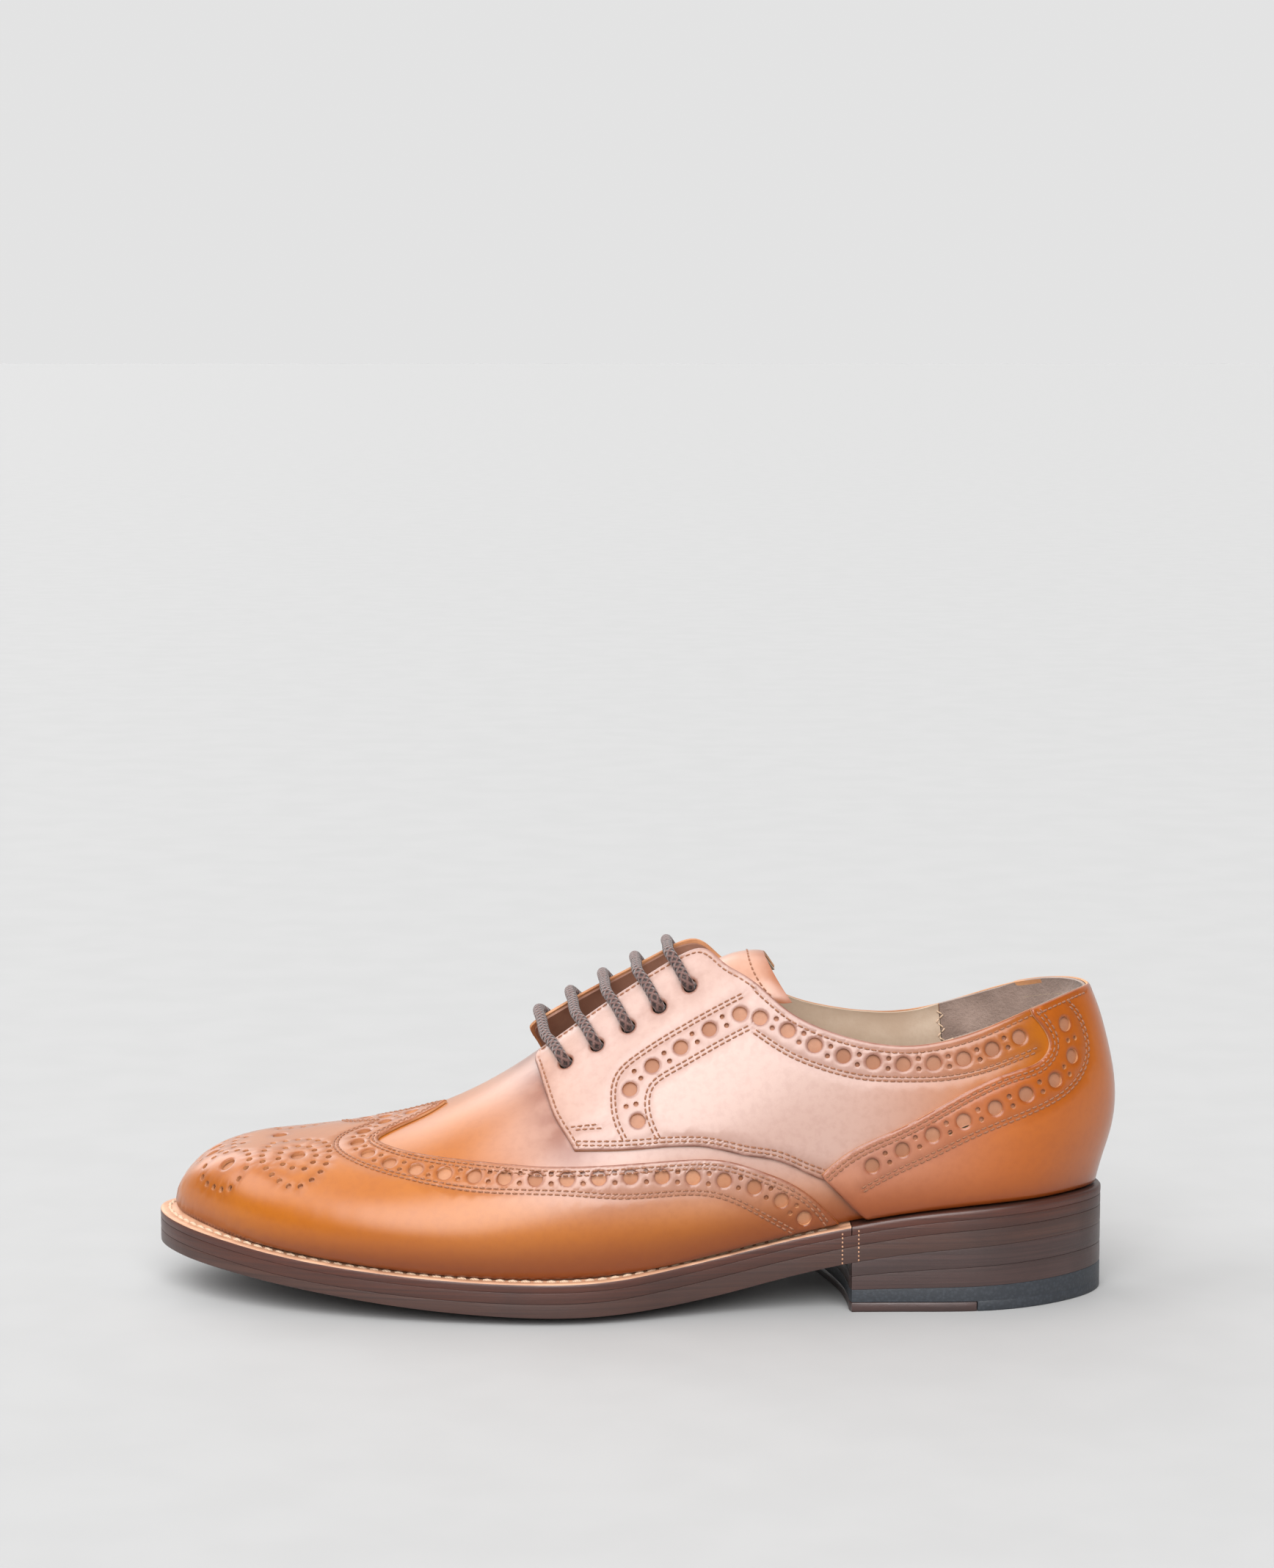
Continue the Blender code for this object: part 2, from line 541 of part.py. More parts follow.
def build_forepart():
    wing = np.concatenate([run(WING_EDGE, side=-1), feather_run(62, TOE_X, -1), [[TOE_X, 0]]])
    leather("wing_cap", [mirrored(wing)], OVER_LAYER, "tan_calf")
    front = run(VAMP_FRONT, side=-1)
    rear = run(VAMP_REAR[::-1], side=-1)
    vamp = np.concatenate([front, feather_run(51, 72, -1), rear, [VAMP_REAR[0]]])
    leather("vamp", [mirrored(vamp)], VAMP_LAYER, "tan_calf")
    puff = np.concatenate([run(PUFF_EDGE, side=-1), feather_run(PUFF_EDGE[-1][0], TOE_X, -1),
                           [[TOE_X, 0]]])
    leather("toe_puff", [mirrored(puff)], PUFF_LAYER, "fibreboard")
    back = [(-40, 0), (-40, 0.25), (-35, 0.42), (-22, 0.54), LINING_JOIN[0]]
    lining = np.concatenate([run(back, side=-1), run(LINING_JOIN, side=-1),
                             feather_run(LINING_JOIN[-1][0], TOE_X, -1), [[TOE_X, 0]]])
    leather("vamp_lining", [mirrored(lining)], LINING_LAYER, "lining_leather")


def build_quarter(side, word):
    """The quarter from its fold line back to its end under the counter, and its lining."""
    split = [(x, v + SPLIT_GAP) for x, v in FACING_SPLIT]
    back = QUARTER_LOW[-1]
    top = TOPLINE[:-2] + [(133, 0.513), (back[0], 0.495)]
    rim = np.concatenate([
        run(split[::-1], side=side),
        run([split[0], top[0]], side=side),
        run(top, side=side),
        run([top[-1], back], side=side),
        run(QUARTER_LOW[::-1], side=side),
        run([QUARTER_LOW[0], split[-1]], side=side),
    ])
    leather(f"quarter_{word}", [rim], OVER_LAYER, "tan_calf")
    end = HEEL_GRIP_X - 0.4
    top_end = float(np.interp(end, [p[0] for p in TOPLINE], [p[1] for p in TOPLINE]))
    top = [p for p in TOPLINE if p[0] < end - 3] + [(end, top_end)]
    front = [(x + 1.2, min(1, v - 0.012)) for x, v in LINING_JOIN[:-1]] + [(LINING_JOIN[-1][0] + 1.2, 1)]
    fold = [front[0], (8, 0.52), (22, 0.42), (37.5, 0.345)]
    rim = np.concatenate([
        run(fold, side=side),
        run([fold[-1], top[0]], side=side),
        run(top, side=side),
        run([top[-1], (end, 0.8), (end, 1)], side=side),
        feather_run(end, front[-1][0], side),
        run(front[::-1], side=side),
    ])
    leather(f"quarter_lining_{word}", [rim], LINING_LAYER, "lining_leather")


def build_facing(side, word):
    """The laced facing with its lining and blind eyelets, all hung from the fold line."""
    hinge = hinge_line(side)[0]
    rim = np.concatenate([run(line, side=side, step=4.5) for line in
                          (FACING_FRONT, FACING_CORNER, FACING_EDGE, FACING_TOP, FACING_SPLIT)])
    outer = on_facing(OVER_LAYER[1])
    holes = [round_hole(outer, x, side * v, FACING_HOLE_R) for x, v in zip(EYELET_X, EYELET_V)]
    leather(f"facing_{word}", [rim] + holes, OVER_LAYER, "tan_calf", place=on_facing, origin=hinge)
    back = [(x - 0.6, v - 0.012) for x, v in FACING_SPLIT]
    lines = ([(-19.5, 0.475), (-23, 0.42), (-26.2, 0.33), (-26.5, 0.24), (-26.8, 0.19)],
             [(-26.8, 0.19), (-26, 0.157), (-23, 0.152)], [(-23, 0.152), (13, 0.152)],
             [(13, 0.152), (20, 0.168), (26.5, 0.24), (31, 0.285), (34.6, 0.317)],
             [(34.6, 0.317)] + back[1:-1] + [(-19.5, 0.475)])
    rim = np.concatenate([run(line, side=side, step=4.5) for line in lines])
    face = on_facing(sum(FACING_LINING_LAYER) / 2)
    depth = sum(FACING_LINING_LAYER) / 2 - OVER_LAYER[1]
    holes = []
    for x, v in zip(EYELET_X, EYELET_V):
        centre, _, _, normal, _ = tangent_frame(outer, x, side * v)
        spot = beneath(face, x, side * v, centre + depth * normal)
        holes.append(round_hole(face, *spot, LINING_HOLE_R))
    leather(f"facing_lining_{word}", [rim] + holes, FACING_LINING_LAYER, "lining_leather",
            place=on_facing, origin=hinge)
    for number, (x, v) in enumerate(zip(EYELET_X, EYELET_V), 1):
        build_eyelet(f"eyelet_{word}_{number}", tangent_frame(outer, x, side * v), hinge)


def build_eyelet(name, frame, hinge, corners=12):
    """A blind eyelet: its barrel stands in the lining and its flange lies on the inner face."""
    centre, first, second, normal, _ = frame
    face = FACING_LINING_LAYER[0] - OVER_LAYER[1] - FLANGE_GAP
    rim = OVER_LAYER[0] - OVER_LAYER[1] - GAP
    profile = [(BARREL_IN_R, rim), (BARREL_R, rim), (BARREL_R, face), (FLANGE_R, face),
               (FLANGE_R, face - FLANGE), (BARREL_IN_R, face - FLANGE)]
    vertices = []
    for k in range(corners):
        turn = 2 * math.pi * k / corners
        out = math.cos(turn) * first + math.sin(turn) * second
        vertices += [centre + radius * out + height * normal for radius, height in profile]
    count = len(profile)
    faces = []
    for k in range(corners):
        here, there = k * count, (k + 1) % corners * count
        for i in range(count):
            j = (i + 1) % count
            faces.append([here + i, here + j, there + j, there + i])
    return make_object(name, vertices, faces, "brass", origin=hinge)


def hinge_line(side):
    """The two ends of the straight fold about which a facing opens."""
    ends = [FACING_SPLIT[-1], FACING_SPLIT[0]]
    return [SKIN.at(np.array([x]), np.array([side * v]), OVER_LAYER[1])[0] for x, v in ends]


def build_heel_upper():
    half = np.concatenate([run(COUNTER_UP, SKIN.flat_heel, side=-1),
                           run([COUNTER_UP[-1], COUNTER_TOP[0]], SKIN.flat_heel, side=-1),
                           run(COUNTER_TOP, SKIN.flat_heel, side=-1), [[HEEL_X, -TOPLINE[-1][1]]]])
    low = np.concatenate([[[HEEL_X, -1]], feather_run(HEEL_X, 70.5, -1)[1:],
                          run(COUNTER_FRONT[::-1], SKIN.flat_heel, side=-1)])
    other_low = (low[1:] * [1, -1])[::-1]
    other_half = (half[:-1] * [1, -1])[::-1]
    rim = np.concatenate([half, other_half, other_low, low])
    leather("counter", [drop_repeats(rim)], COUNTER_LAYER, "counter_calf", flat=SKIN.flat_heel,
            filling=HEEL_SEAM)
    heel_band("heel_stiffener", 78.0, 0.04, VAMP_LAYER, "fibreboard")
    heel_band("heel_lining", HEEL_GRIP_X + 0.4, 0.0, LINING_LAYER, "heel_suede")


def heel_band(name, front, drop, layer, look):
    """A band round the heel from the feather edge up to the topline, or a little under it."""
    first = float(np.interp(front, [p[0] for p in TOPLINE], [p[1] for p in TOPLINE]))
    top = [(front, first + drop)] + [(x, v + drop) for x, v in TOPLINE if x > front + 4]
    half = np.concatenate([run([(front, 1), (front, 0.8), top[0]], SKIN.flat_heel, side=-1),
                           run(top, SKIN.flat_heel, side=-1), [[HEEL_X, -top[-1][1]]]])
    low = feather_run(HEEL_X, front, -1)
    other_half = (half[:-1] * [1, -1])[::-1]
    other_low = (low[1:] * [1, -1])[::-1]
    rim = np.concatenate([half, other_half, other_low, low])
    leather(name, [drop_repeats(rim)], layer, look, flat=SKIN.flat_heel, filling=HEEL_SEAM)


def drop_repeats(rim):
    """Leaves out points that repeat the one before them once they are laid flat."""
    laid = SKIN.flat_heel(rim[:, 0], rim[:, 1])
    far = np.linalg.norm(laid - np.roll(laid, 1, axis=0), axis=1) > 0.5
    return rim[far]


# ---- the tongue ----------------------------------------------------------------------------------------

def tongue_grid(depth, rows=11, columns=9):
    """The tongue's face at a depth below its outer face."""
    line = np.array(TONGUE_LINE, float)
    chord = np.concatenate([[0], np.cumsum(np.linalg.norm(np.diff(line, axis=0), axis=1))])
    spots = np.linspace(0, chord[-1], rows)
    centre = np.stack([spline(chord, line[:, c], spots) for c in (0, 1)], -1)
    tangent = np.gradient(centre, axis=0)
    tangent /= np.linalg.norm(tangent, axis=1, keepdims=True)
    grid = np.zeros((rows, columns, 3))
    for i, (x, z) in enumerate(centre):
        share = i / (rows - 1)
        rounding = math.sqrt(1 - 0.35 * max(0, (share - 0.85) / 0.15) ** 2)
        left, right = (rounding * np.interp(share, (0, 1), TONGUE_HALVES[side]) for side in (-1, 1))
        forward = np.array([tangent[i, 0], 0, tangent[i, 1]])
        up = np.array([-tangent[i, 1], 0, tangent[i, 0]])
        for j, turn in enumerate(np.linspace(-left, right, columns) / TONGUE_R):
            spot = np.array([x, TONGUE_Y, z]) + TONGUE_LEAN * share * (turn / 1.43) ** 2 * forward
            radius = TONGUE_R - depth
            side = np.array([0, radius * math.sin(turn), 0])
            grid[i, j] = spot + side + (radius * math.cos(turn) - TONGUE_R) * up
    return grid


def tongue_hinge():
    x, z = TONGUE_LINE[0]
    return np.array([x, TONGUE_Y, z - 2.0])


def build_tongue():
    grid_body("tongue", tongue_grid(0), tongue_grid(TONGUE_THICK), "tan_calf", origin=tongue_hinge())
    start = TONGUE_THICK + 0.4
    grid_body("tongue_lining", tongue_grid(start), tongue_grid(start + TONGUE_LINING), "lining_leather",
              origin=tongue_hinge())


# ---- the lace ------------------------------------------------------------------------------------------

def eyelet_frame(side, number):
    return tangent_frame(on_facing(OVER_LAYER[1]), EYELET_X[number], side * EYELET_V[number])


def lace_bar(number, start):
    """One straight bar over the facings, from inside the eyelet on the start side to inside the other."""
    sides = (start, -start)
    halves = []
    for side in sides:
        centre, first, second, normal, _ = eyelet_frame(side, number)
        over = on_facing(OVER_LAYER[1] + LACE_R + BAR_CLEAR)
        x, v = EYELET_X[number], EYELET_V[number]
        share = np.array([0.36, 0.7, 1.0])
        surface = list(over(x + BAR_LEAN * share, side * (v + (FACING_EDGE[0][1] - v) * share)))
        toward = surface[0] - centre
        toward -= toward @ normal * normal
        toward /= np.linalg.norm(toward)
        through = [centre + rise * normal + ahead * toward for rise, ahead in LACE_THROUGH]
        halves.append(through + surface)
    near, far = halves
    middle = (near[-1] + far[-1]) / 2 + np.array([-0.4, 0, 0.9])
    return near + [middle] + far[::-1]


def lace_under(side, first, last, sway):
    """The run inside a facing between two eyelets, swung sideways to pass the eyelets between them."""
    inner = on_facing(UNDER_DEPTH[side])
    x0, x1 = EYELET_X[first], EYELET_X[last]
    v0, v1 = EYELET_V[first], EYELET_V[last]
    points = []
    count = 3 if last - first == 1 else 5
    for share in np.linspace(0.16 if count == 5 else 0.22, 0.84 if count == 5 else 0.78, count):
        swing = sway * math.sin(math.pi * share) ** 0.7
        v = v0 + (v1 - v0) * share + swing / 100
        points.append(inner(np.array([x0 + (x1 - x0) * share]), np.array([side * v]))[0])
    return points


def lace_tail(side, number):
    """A tail tucked down inside the shoe and laid forward along the sock."""
    depth = TAIL_DEPTH[side]
    x = EYELET_X[number]
    turn = on_facing(UNDER_DEPTH[side])
    points = list(turn(np.array([x + 0.7]), np.array([side * (EYELET_V[number] + 0.04)])))
    wall = [(x + 3, 0.37), (x + 5, 0.46), (x + 5, 0.57), (x + 1, 0.69), (x - 8, 0.8)]
    for a, b in wall:
        points.append(SKIN.at(np.array([a]), np.array([side * b]), depth - 4 * max(0, b - 0.5))[0])
    for a, b in TAIL_FLOOR[side]:
        points.append(np.array([a, b, sock_top(a) + LACE_R + TAIL_CLEAR]))
    return points


def sock_top(x):
    return float(along(FEATHER_Z, np.array([x]))[0]) + 4.2


def round_off(points, fine, coarse, first, last):
    """A smooth line through points, sampled finely between two of them and coarsely at its ends."""
    points = np.array(points)
    chord = np.concatenate([[0], np.cumsum(np.sqrt(np.linalg.norm(np.diff(points, axis=0), axis=1)))])
    dense = np.stack([spline(chord, points[:, c], np.linspace(0, chord[-1], 4000)) for c in range(3)], -1)
    length = np.concatenate([[0], np.cumsum(np.linalg.norm(np.diff(dense, axis=0), axis=1))])
    start, end = np.interp(chord[[first, last]], np.linspace(0, chord[-1], 4000), length)
    places = []
    for begin, stop, step in ((0, start, coarse), (start, end, fine), (end, length[-1], coarse)):
        places += list(np.linspace(begin, stop, max(2, round((stop - begin) / step)), endpoint=False))
    places.append(length[-1])
    return np.stack([np.interp(places, length, dense[:, c]) for c in range(3)], -1)


def lace_route():
    """Straight lacing from the lateral tail's end, through all eyelets, to the medial tail's end."""
    route = lace_tail(-1, 3)[::-1] + lace_bar(3, -1)
    route += lace_under(1, 3, 1, 4.0) + lace_bar(1, 1)
    route += lace_under(-1, 1, 0, 0.0) + lace_bar(0, -1)
    route += lace_under(1, 0, 2, -4.0) + lace_bar(2, 1)
    route += lace_under(-1, 2, 4, -4.0) + lace_bar(4, -1)
    return route + lace_tail(1, 4)


def build_lace():
    route = lace_route()
    tail = len(lace_tail(-1, 3))
    line = round_off(route, LACE_FINE, LACE_COARSE, tail - 1, len(route) - tail)
    curve = bpy.data.curves.new("lace", "CURVE")
    curve.dimensions = "3D"
    path = curve.splines.new("POLY")
    path.points.add(len(line) - 1)
    for spot, place in zip(path.points, line):
        spot.co = (*((place - ORIGIN) * MM), 1)
    curve.bevel_depth = LACE_R * MM
    curve.bevel_resolution = 2
    curve.use_fill_caps = True
    curve.materials.append(material("brown_cotton"))
    bpy.context.collection.objects.link(bpy.data.objects.new("lace", curve))
    ends = ((line[0], line[0] - line[1]), (line[-1], line[-1] - line[-2]))
    for number, (place, heading) in enumerate(ends, 1):
        build_aglet(f"aglet_{number}", place, heading / np.linalg.norm(heading))


def build_aglet(name, place, heading, corners=8, radius=1.5, length=20.0):
    """The hard tip on the end of the lace."""
    side = np.cross(heading, [0, 0, 1])
    side /= np.linalg.norm(side)
    up = np.cross(side, heading)
    vertices = []
    for distance in (GAP, GAP + length):
        for k in range(corners):
            turn = 2 * math.pi * k / corners
            out = math.cos(turn) * side + math.sin(turn) * up
            vertices.append(place + distance * heading + radius * out)
    sides = [[k, (k + 1) % corners, corners + (k + 1) % corners, corners + k] for k in range(corners)]
    caps = [list(range(corners)), list(range(corners, 2 * corners))]
    return make_object(name, vertices, sides + caps, "brown_plastic")


# ---- the bottom ----------------------------------------------------------------------------------------

def half_outline(side, first, last, step):
    """The sole's edge on one side between two stations."""
    rows = SOLE_LATERAL_Y if side < 0 else SOLE_MEDIAL_Y
    angles = np.linspace(*station_angle([first, last], SOLE_TOE_X, SOLE_HEEL_X), 200)
    x = station_x(angles, SOLE_TOE_X, SOLE_HEEL_X)
    y = along(rows, x, SOLE_TOE_X, SOLE_HEEL_X)
    return even(np.stack([x, y], -1), step)


def even(line, step):
    """Points at even distances along a plan line."""
    length = np.concatenate([[0], np.cumsum(np.linalg.norm(np.diff(line, axis=0), axis=1))])
    count = max(2, round(length[-1] / step))
    places = np.linspace(0, length[-1], count + 1)
    return np.stack([np.interp(places, length, line[:, c]) for c in (0, 1)], -1)


def sole_loop(step=8.0):
    lateral = half_outline(-1, SOLE_TOE_X, SOLE_HEEL_X, step)
    medial = half_outline(1, SOLE_HEEL_X, SOLE_TOE_X, step)
    return np.concatenate([lateral[:-1], medial[:-1]])


def feather_line(side, first, last):
    angles = np.linspace(*station_angle([first, last]), 200)
    return SKIN.at(station_x(angles), np.full(200, side * 1.0))[:, :2]


def feather_loop(step=8.0):
    lateral = even(feather_line(-1, TOE_X, HEEL_X), step)
    medial = even(feather_line(1, HEEL_X, TOE_X), step)
    return np.concatenate([lateral[:-1], medial[:-1]])


def inset(loop, distance):
    """A plan loop moved inwards."""
    ahead = np.roll(loop, -1, axis=0) - np.roll(loop, 1, axis=0)
    ahead /= np.linalg.norm(ahead, axis=1, keepdims=True)
    inward = np.stack([-ahead[:, 1], ahead[:, 0]], -1)
    area = np.sum(loop[:, 0] * np.roll(loop[:, 1], -1) - loop[:, 1] * np.roll(loop[:, 0], -1))
    return loop + inward * distance * np.sign(area)


def edge_z(x):
    return along(EDGE_Z, np.clip(x, SOLE_TOE_X, SOLE_HEEL_X), SOLE_TOE_X, SOLE_HEEL_X)


def feather_z(x):
    return along(FEATHER_Z, np.clip(x, TOE_X, HEEL_X))


def plan_filling(step=20.0):
    places = [(x, y) for x in np.arange(-144, 146, step) for y in np.arange(-48, 49, step)]
    return np.array(places)


def plate(name, loops, top, bottom, look, **options):
    """A plate cut in plan, between two heights that vary with x and y."""
    def raised(height):
        return lambda x, y: np.stack([x, y, height(x, y)], -1)

    return cut_body(name, loops, plan_filling(), lambda x, y: np.stack([x, y], -1),
                    raised(top), raised(bottom), look, margin=5.0, **options)


def below_edge(depth):
    return lambda x, y: edge_z(x) - depth


def sole_low_z(x, y):
    """The outsole's underside, which bulges down across the forepart."""
    held = np.clip(x, SOLE_TOE_X, SOLE_HEEL_X)
    low, high = (along(rows, held, SOLE_TOE_X, SOLE_HEEL_X) for rows in (SOLE_LATERAL_Y, SOLE_MEDIAL_Y))
    half = np.maximum((high - low) / 2, 1e-3)
    across = np.clip(np.abs(y - (low + high) / 2) / half, 0, 1)
    bulge = CROWN * (1 - across ** 2) * smooth_step((CROWN_END_X - x) / 40) * smooth_step(half / 40)
    return np.maximum(along(SOLE_LOW_Z, held, SOLE_TOE_X, SOLE_HEEL_X) - bulge, 0)


def above_feather(height):
    return lambda x, y: feather_z(x) + height


def strip(name, outer, inner, heights, look, closed=False):
    """A band between two plan lines with as many points, its section given by four heights."""
    outer_top, inner_top, inner_low, outer_low = heights
    rings = [np.column_stack([line, height(line[:, 0])]) for line, height in
             ((outer, outer_top), (inner, inner_top), (inner, inner_low), (outer, outer_low))]
    count = len(outer)
    faces = []
    for i in range(count if closed else count - 1):
        j = (i + 1) % count
        for k in range(4):
            m = (k + 1) % 4
            faces.append([k * count + i, k * count + j, m * count + j, m * count + i])
    if not closed:
        faces += [[k * count for k in range(4)], [k * count + count - 1 for k in range(3, -1, -1)]]
    return make_object(name, np.concatenate(rings), faces, look)


def matched(line, count):
    """The same plan line with a given number of points."""
    length = np.concatenate([[0], np.cumsum(np.linalg.norm(np.diff(line, axis=0), axis=1))])
    places = np.linspace(0, length[-1], count)
    return np.stack([np.interp(places, length, line[:, c]) for c in (0, 1)], -1)


def welt_lines(first, last, around_toe, count):
    """Outer and inner edges of the part of the welt or rand between two stations."""
    lines = []
    for outline, feather in ((True, False), (False, True)):
        ends = (SOLE_TOE_X, SOLE_HEEL_X) if outline else (TOE_X, HEEL_X)
        halves = []
        for side in (-1, 1):
            turn = ends[0] if around_toe else ends[1]
            reach = (first, turn) if side < 0 else (turn, last)
            halves.append(half_outline(side, *reach, 2.0) if outline else feather_line(side, *reach))
        line = np.concatenate([halves[0][:-1], halves[1]])
        if feather:
            line = inset_open(line, 4.0, np.array([0.0, 0.0]) if around_toe else np.array([100.0, 0.0]))
        lines.append(matched(line, count))
    return lines


def inset_open(line, distance, centre):
    """An open plan line moved towards the side on which a centre lies."""
    ahead = np.gradient(line, axis=0)
    ahead /= np.linalg.norm(ahead, axis=1, keepdims=True)
    inward = np.stack([-ahead[:, 1], ahead[:, 0]], -1)
    middle = len(line) // 2
    sign = np.sign((centre - line[middle]) @ inward[middle])
    return line + inward * distance * sign


def build_bottom():
    loop = sole_loop()
    plate("midsole", [loop], below_edge(WELT + GAP), below_edge(WELT + GAP + MIDSOLE),
          "midsole_leather")
    plate("outsole", [loop], below_edge(WELT + MIDSOLE + 2 * GAP), sole_low_z, "outsole_leather")
    heights = (edge_z, lambda x: feather_z(x) - GAP, lambda x: edge_z(x) - WELT, lambda x: edge_z(x) - WELT)
    outer, inner = welt_lines(WELT_END_X - 0.3, WELT_END_X - 0.3, True, 76)
    strip("welt", outer, inner, heights, "welt_leather")
    outer, inner = welt_lines(WELT_END_X, WELT_END_X, False, 36)
    strip("heel_rand", outer, inner, heights, "lift_leather")
    feather = feather_loop()
    plate("insole", [inset(feather, 3.4)], above_feather(3.0), above_feather(0), "insole_leather")
    plate("sock_lining", [inset(feather, 3.8)], above_feather(4.1), above_feather(3.3), "lining_leather")
    ribbed = feather[feather[:, 0] < 40]
    start = int(np.argmax(np.linalg.norm(np.diff(ribbed, axis=0), axis=1))) + 1
    ribbed = np.roll(ribbed, -start, axis=0)
    toe = np.array([-60.0, 0.0])
    outer, inner = (inset_open(ribbed, distance, toe) for distance in (4.6, 6.4))
    lows = (lambda x: feather_z(x) - GAP, lambda x: feather_z(x) - GAP, lambda x: edge_z(x) - WELT,
            lambda x: edge_z(x) - WELT)
    strip("insole_rib", outer, inner, lows, "fibreboard")
    cork = inset(feather, 7.0)
    cork = cork[cork[:, 0] < -8]
    plate("cork_filler", [cork], above_feather(-GAP), below_edge(WELT), "cork")
    turns = np.linspace(-math.pi / 2, math.pi / 2, 9)
    end = SHANK_WIDTH / 2 * np.stack([np.cos(turns), np.sin(turns)], -1) + [SHANK_LENGTH / 2, 0]
    shank = np.concatenate([end, -end, end[:1]]) + [SHANK_X, -3]
    plate("shank", [even(shank, 5.0)[:-1]], below_edge(WELT - SHANK_THICK), below_edge(WELT),
          "spring_steel")


def heel_loop():
    """The heel's plan: the sole's edge closed by the hollow breast."""
    breast = np.array(BREAST, float)
    y = np.linspace(breast[0, 1], breast[-1, 1], 60)
    x = spline(breast[:, 1], breast[:, 0], y)
    lateral = half_outline(-1, 40.0, SOLE_HEEL_X, 1.0)
    medial = half_outline(1, 40.0, SOLE_HEEL_X, 1.0)
    low = float(np.interp(x[5], lateral[:, 0], lateral[:, 1]))
    high = float(np.interp(x[-8], medial[:, 0], medial[:, 1]))
    keep = (y > low + 0.3) & (y < high - 0.3)
    front = np.stack([x[keep], y[keep]], -1)
    lateral = lateral[lateral[:, 0] > front[0, 0] + 0.2]
    medial = medial[medial[:, 0] > front[-1, 0] + 0.2]
    outline = even(np.concatenate([lateral, medial[-2::-1]]), 6.0)
    return np.concatenate([outline, even(front[::-1], 6.0)[1:-1]])


def build_heel():
    loop = heel_loop()

    def top_piece_z(x, y):
        share = (x - 65) / (SOLE_HEEL_X - 65)
        return TOP_PIECE_FRONT + (TOP_PIECE_BACK - TOP_PIECE_FRONT) * share

    def between(share, shift):
        def height(x, y):
            low = top_piece_z(x, y) + GAP
            high = sole_low_z(x, y) - GAP
            return low + (high - low) * share + shift
        return height

    plate("heel_lift_1", [loop], between(1, 0), between(0.5, GAP / 2), "lift_leather")
    plate("heel_lift_2", [loop], between(0.5, -GAP / 2), between(0, 0), "lift_leather")
    rubber = plate("top_piece_rubber", [loop], top_piece_z, lambda x, y: 0 * x, "rubber")
    breast = np.array(BREAST, float)
    y = np.linspace(-42, 42, 12)
    x = spline(breast[:, 1], breast[:, 0], np.clip(y, -40, 36)) + INSERT_LENGTH
    step = np.stack([x, y], -1)
    front = np.array([[20.0, 42.0], [20.0, -42.0]])
    cutter = plate("insert_space", [np.concatenate([step, front])],
                   lambda x, y: 0 * x + INSERT_THICK + GAP, lambda x, y: 0 * x - 2, "rubber")
    cutter.hide_render = True
    cutter.display_type = "WIRE"
    cut = rubber.modifiers.new("insert seat", "BOOLEAN")
    cut.object = cutter
    limit = np.interp(loop[:, 1], y, x) - GAP
    clipped = clip_front(loop, limit)
    plate("top_piece_insert", [clipped], lambda x, y: 0 * x + INSERT_THICK, lambda x, y: 0 * x,
          "lift_leather")


def clip_front(loop, limit):
    """The part of the heel's loop in front of a curved line, closed along that line."""
    front = loop[loop[:, 0] < limit - 1.0]
    gaps = np.linalg.norm(front - np.roll(front, 1, axis=0), axis=1)
    front = np.roll(front, -int(np.argmax(gaps)), axis=0)
    breast = np.array(BREAST, float)
    lateral = half_outline(-1, 60.0, 120.0, 1.0)
    medial = half_outline(1, 60.0, 120.0, 1.0)
    y = np.linspace(-42, 42, 400)
    x = spline(breast[:, 1], breast[:, 0], np.clip(y, -40, 36)) + INSERT_LENGTH - GAP
    low = np.interp(x, lateral[:, 0], lateral[:, 1])
    high = np.interp(x, medial[:, 0], medial[:, 1])
    keep = (y > low) & (y < high)
    line = even(np.stack([x[keep], y[keep]], -1), 7.0)
    if np.linalg.norm(front[-1] - line[0]) > np.linalg.norm(front[-1] - line[-1]):
        line = line[::-1]
    return np.concatenate([front, line])


def main():
    for old in list(bpy.data.objects):
        bpy.data.objects.remove(old, do_unlink=True)
    build_forepart()
    build_heel_upper()
    for side, word in ((-1, "lateral"), (1, "medial")):
        build_quarter(side, word)
        build_facing(side, word)
    build_tongue()
    build_lace()
    build_bottom()
    build_heel()


main()
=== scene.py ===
"""The looks of a left men's derby shoe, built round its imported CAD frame.

The leather pieces are cut again, finely, on the same last as the CAD. A place on the last's skin is (x, v):
the station x along the shoe and the girth fraction v, which is 0 on the ridge, -1 at the lateral feather edge
and 1 at the medial one. Sizes are in millimetres until a mesh is made.
"""
import math

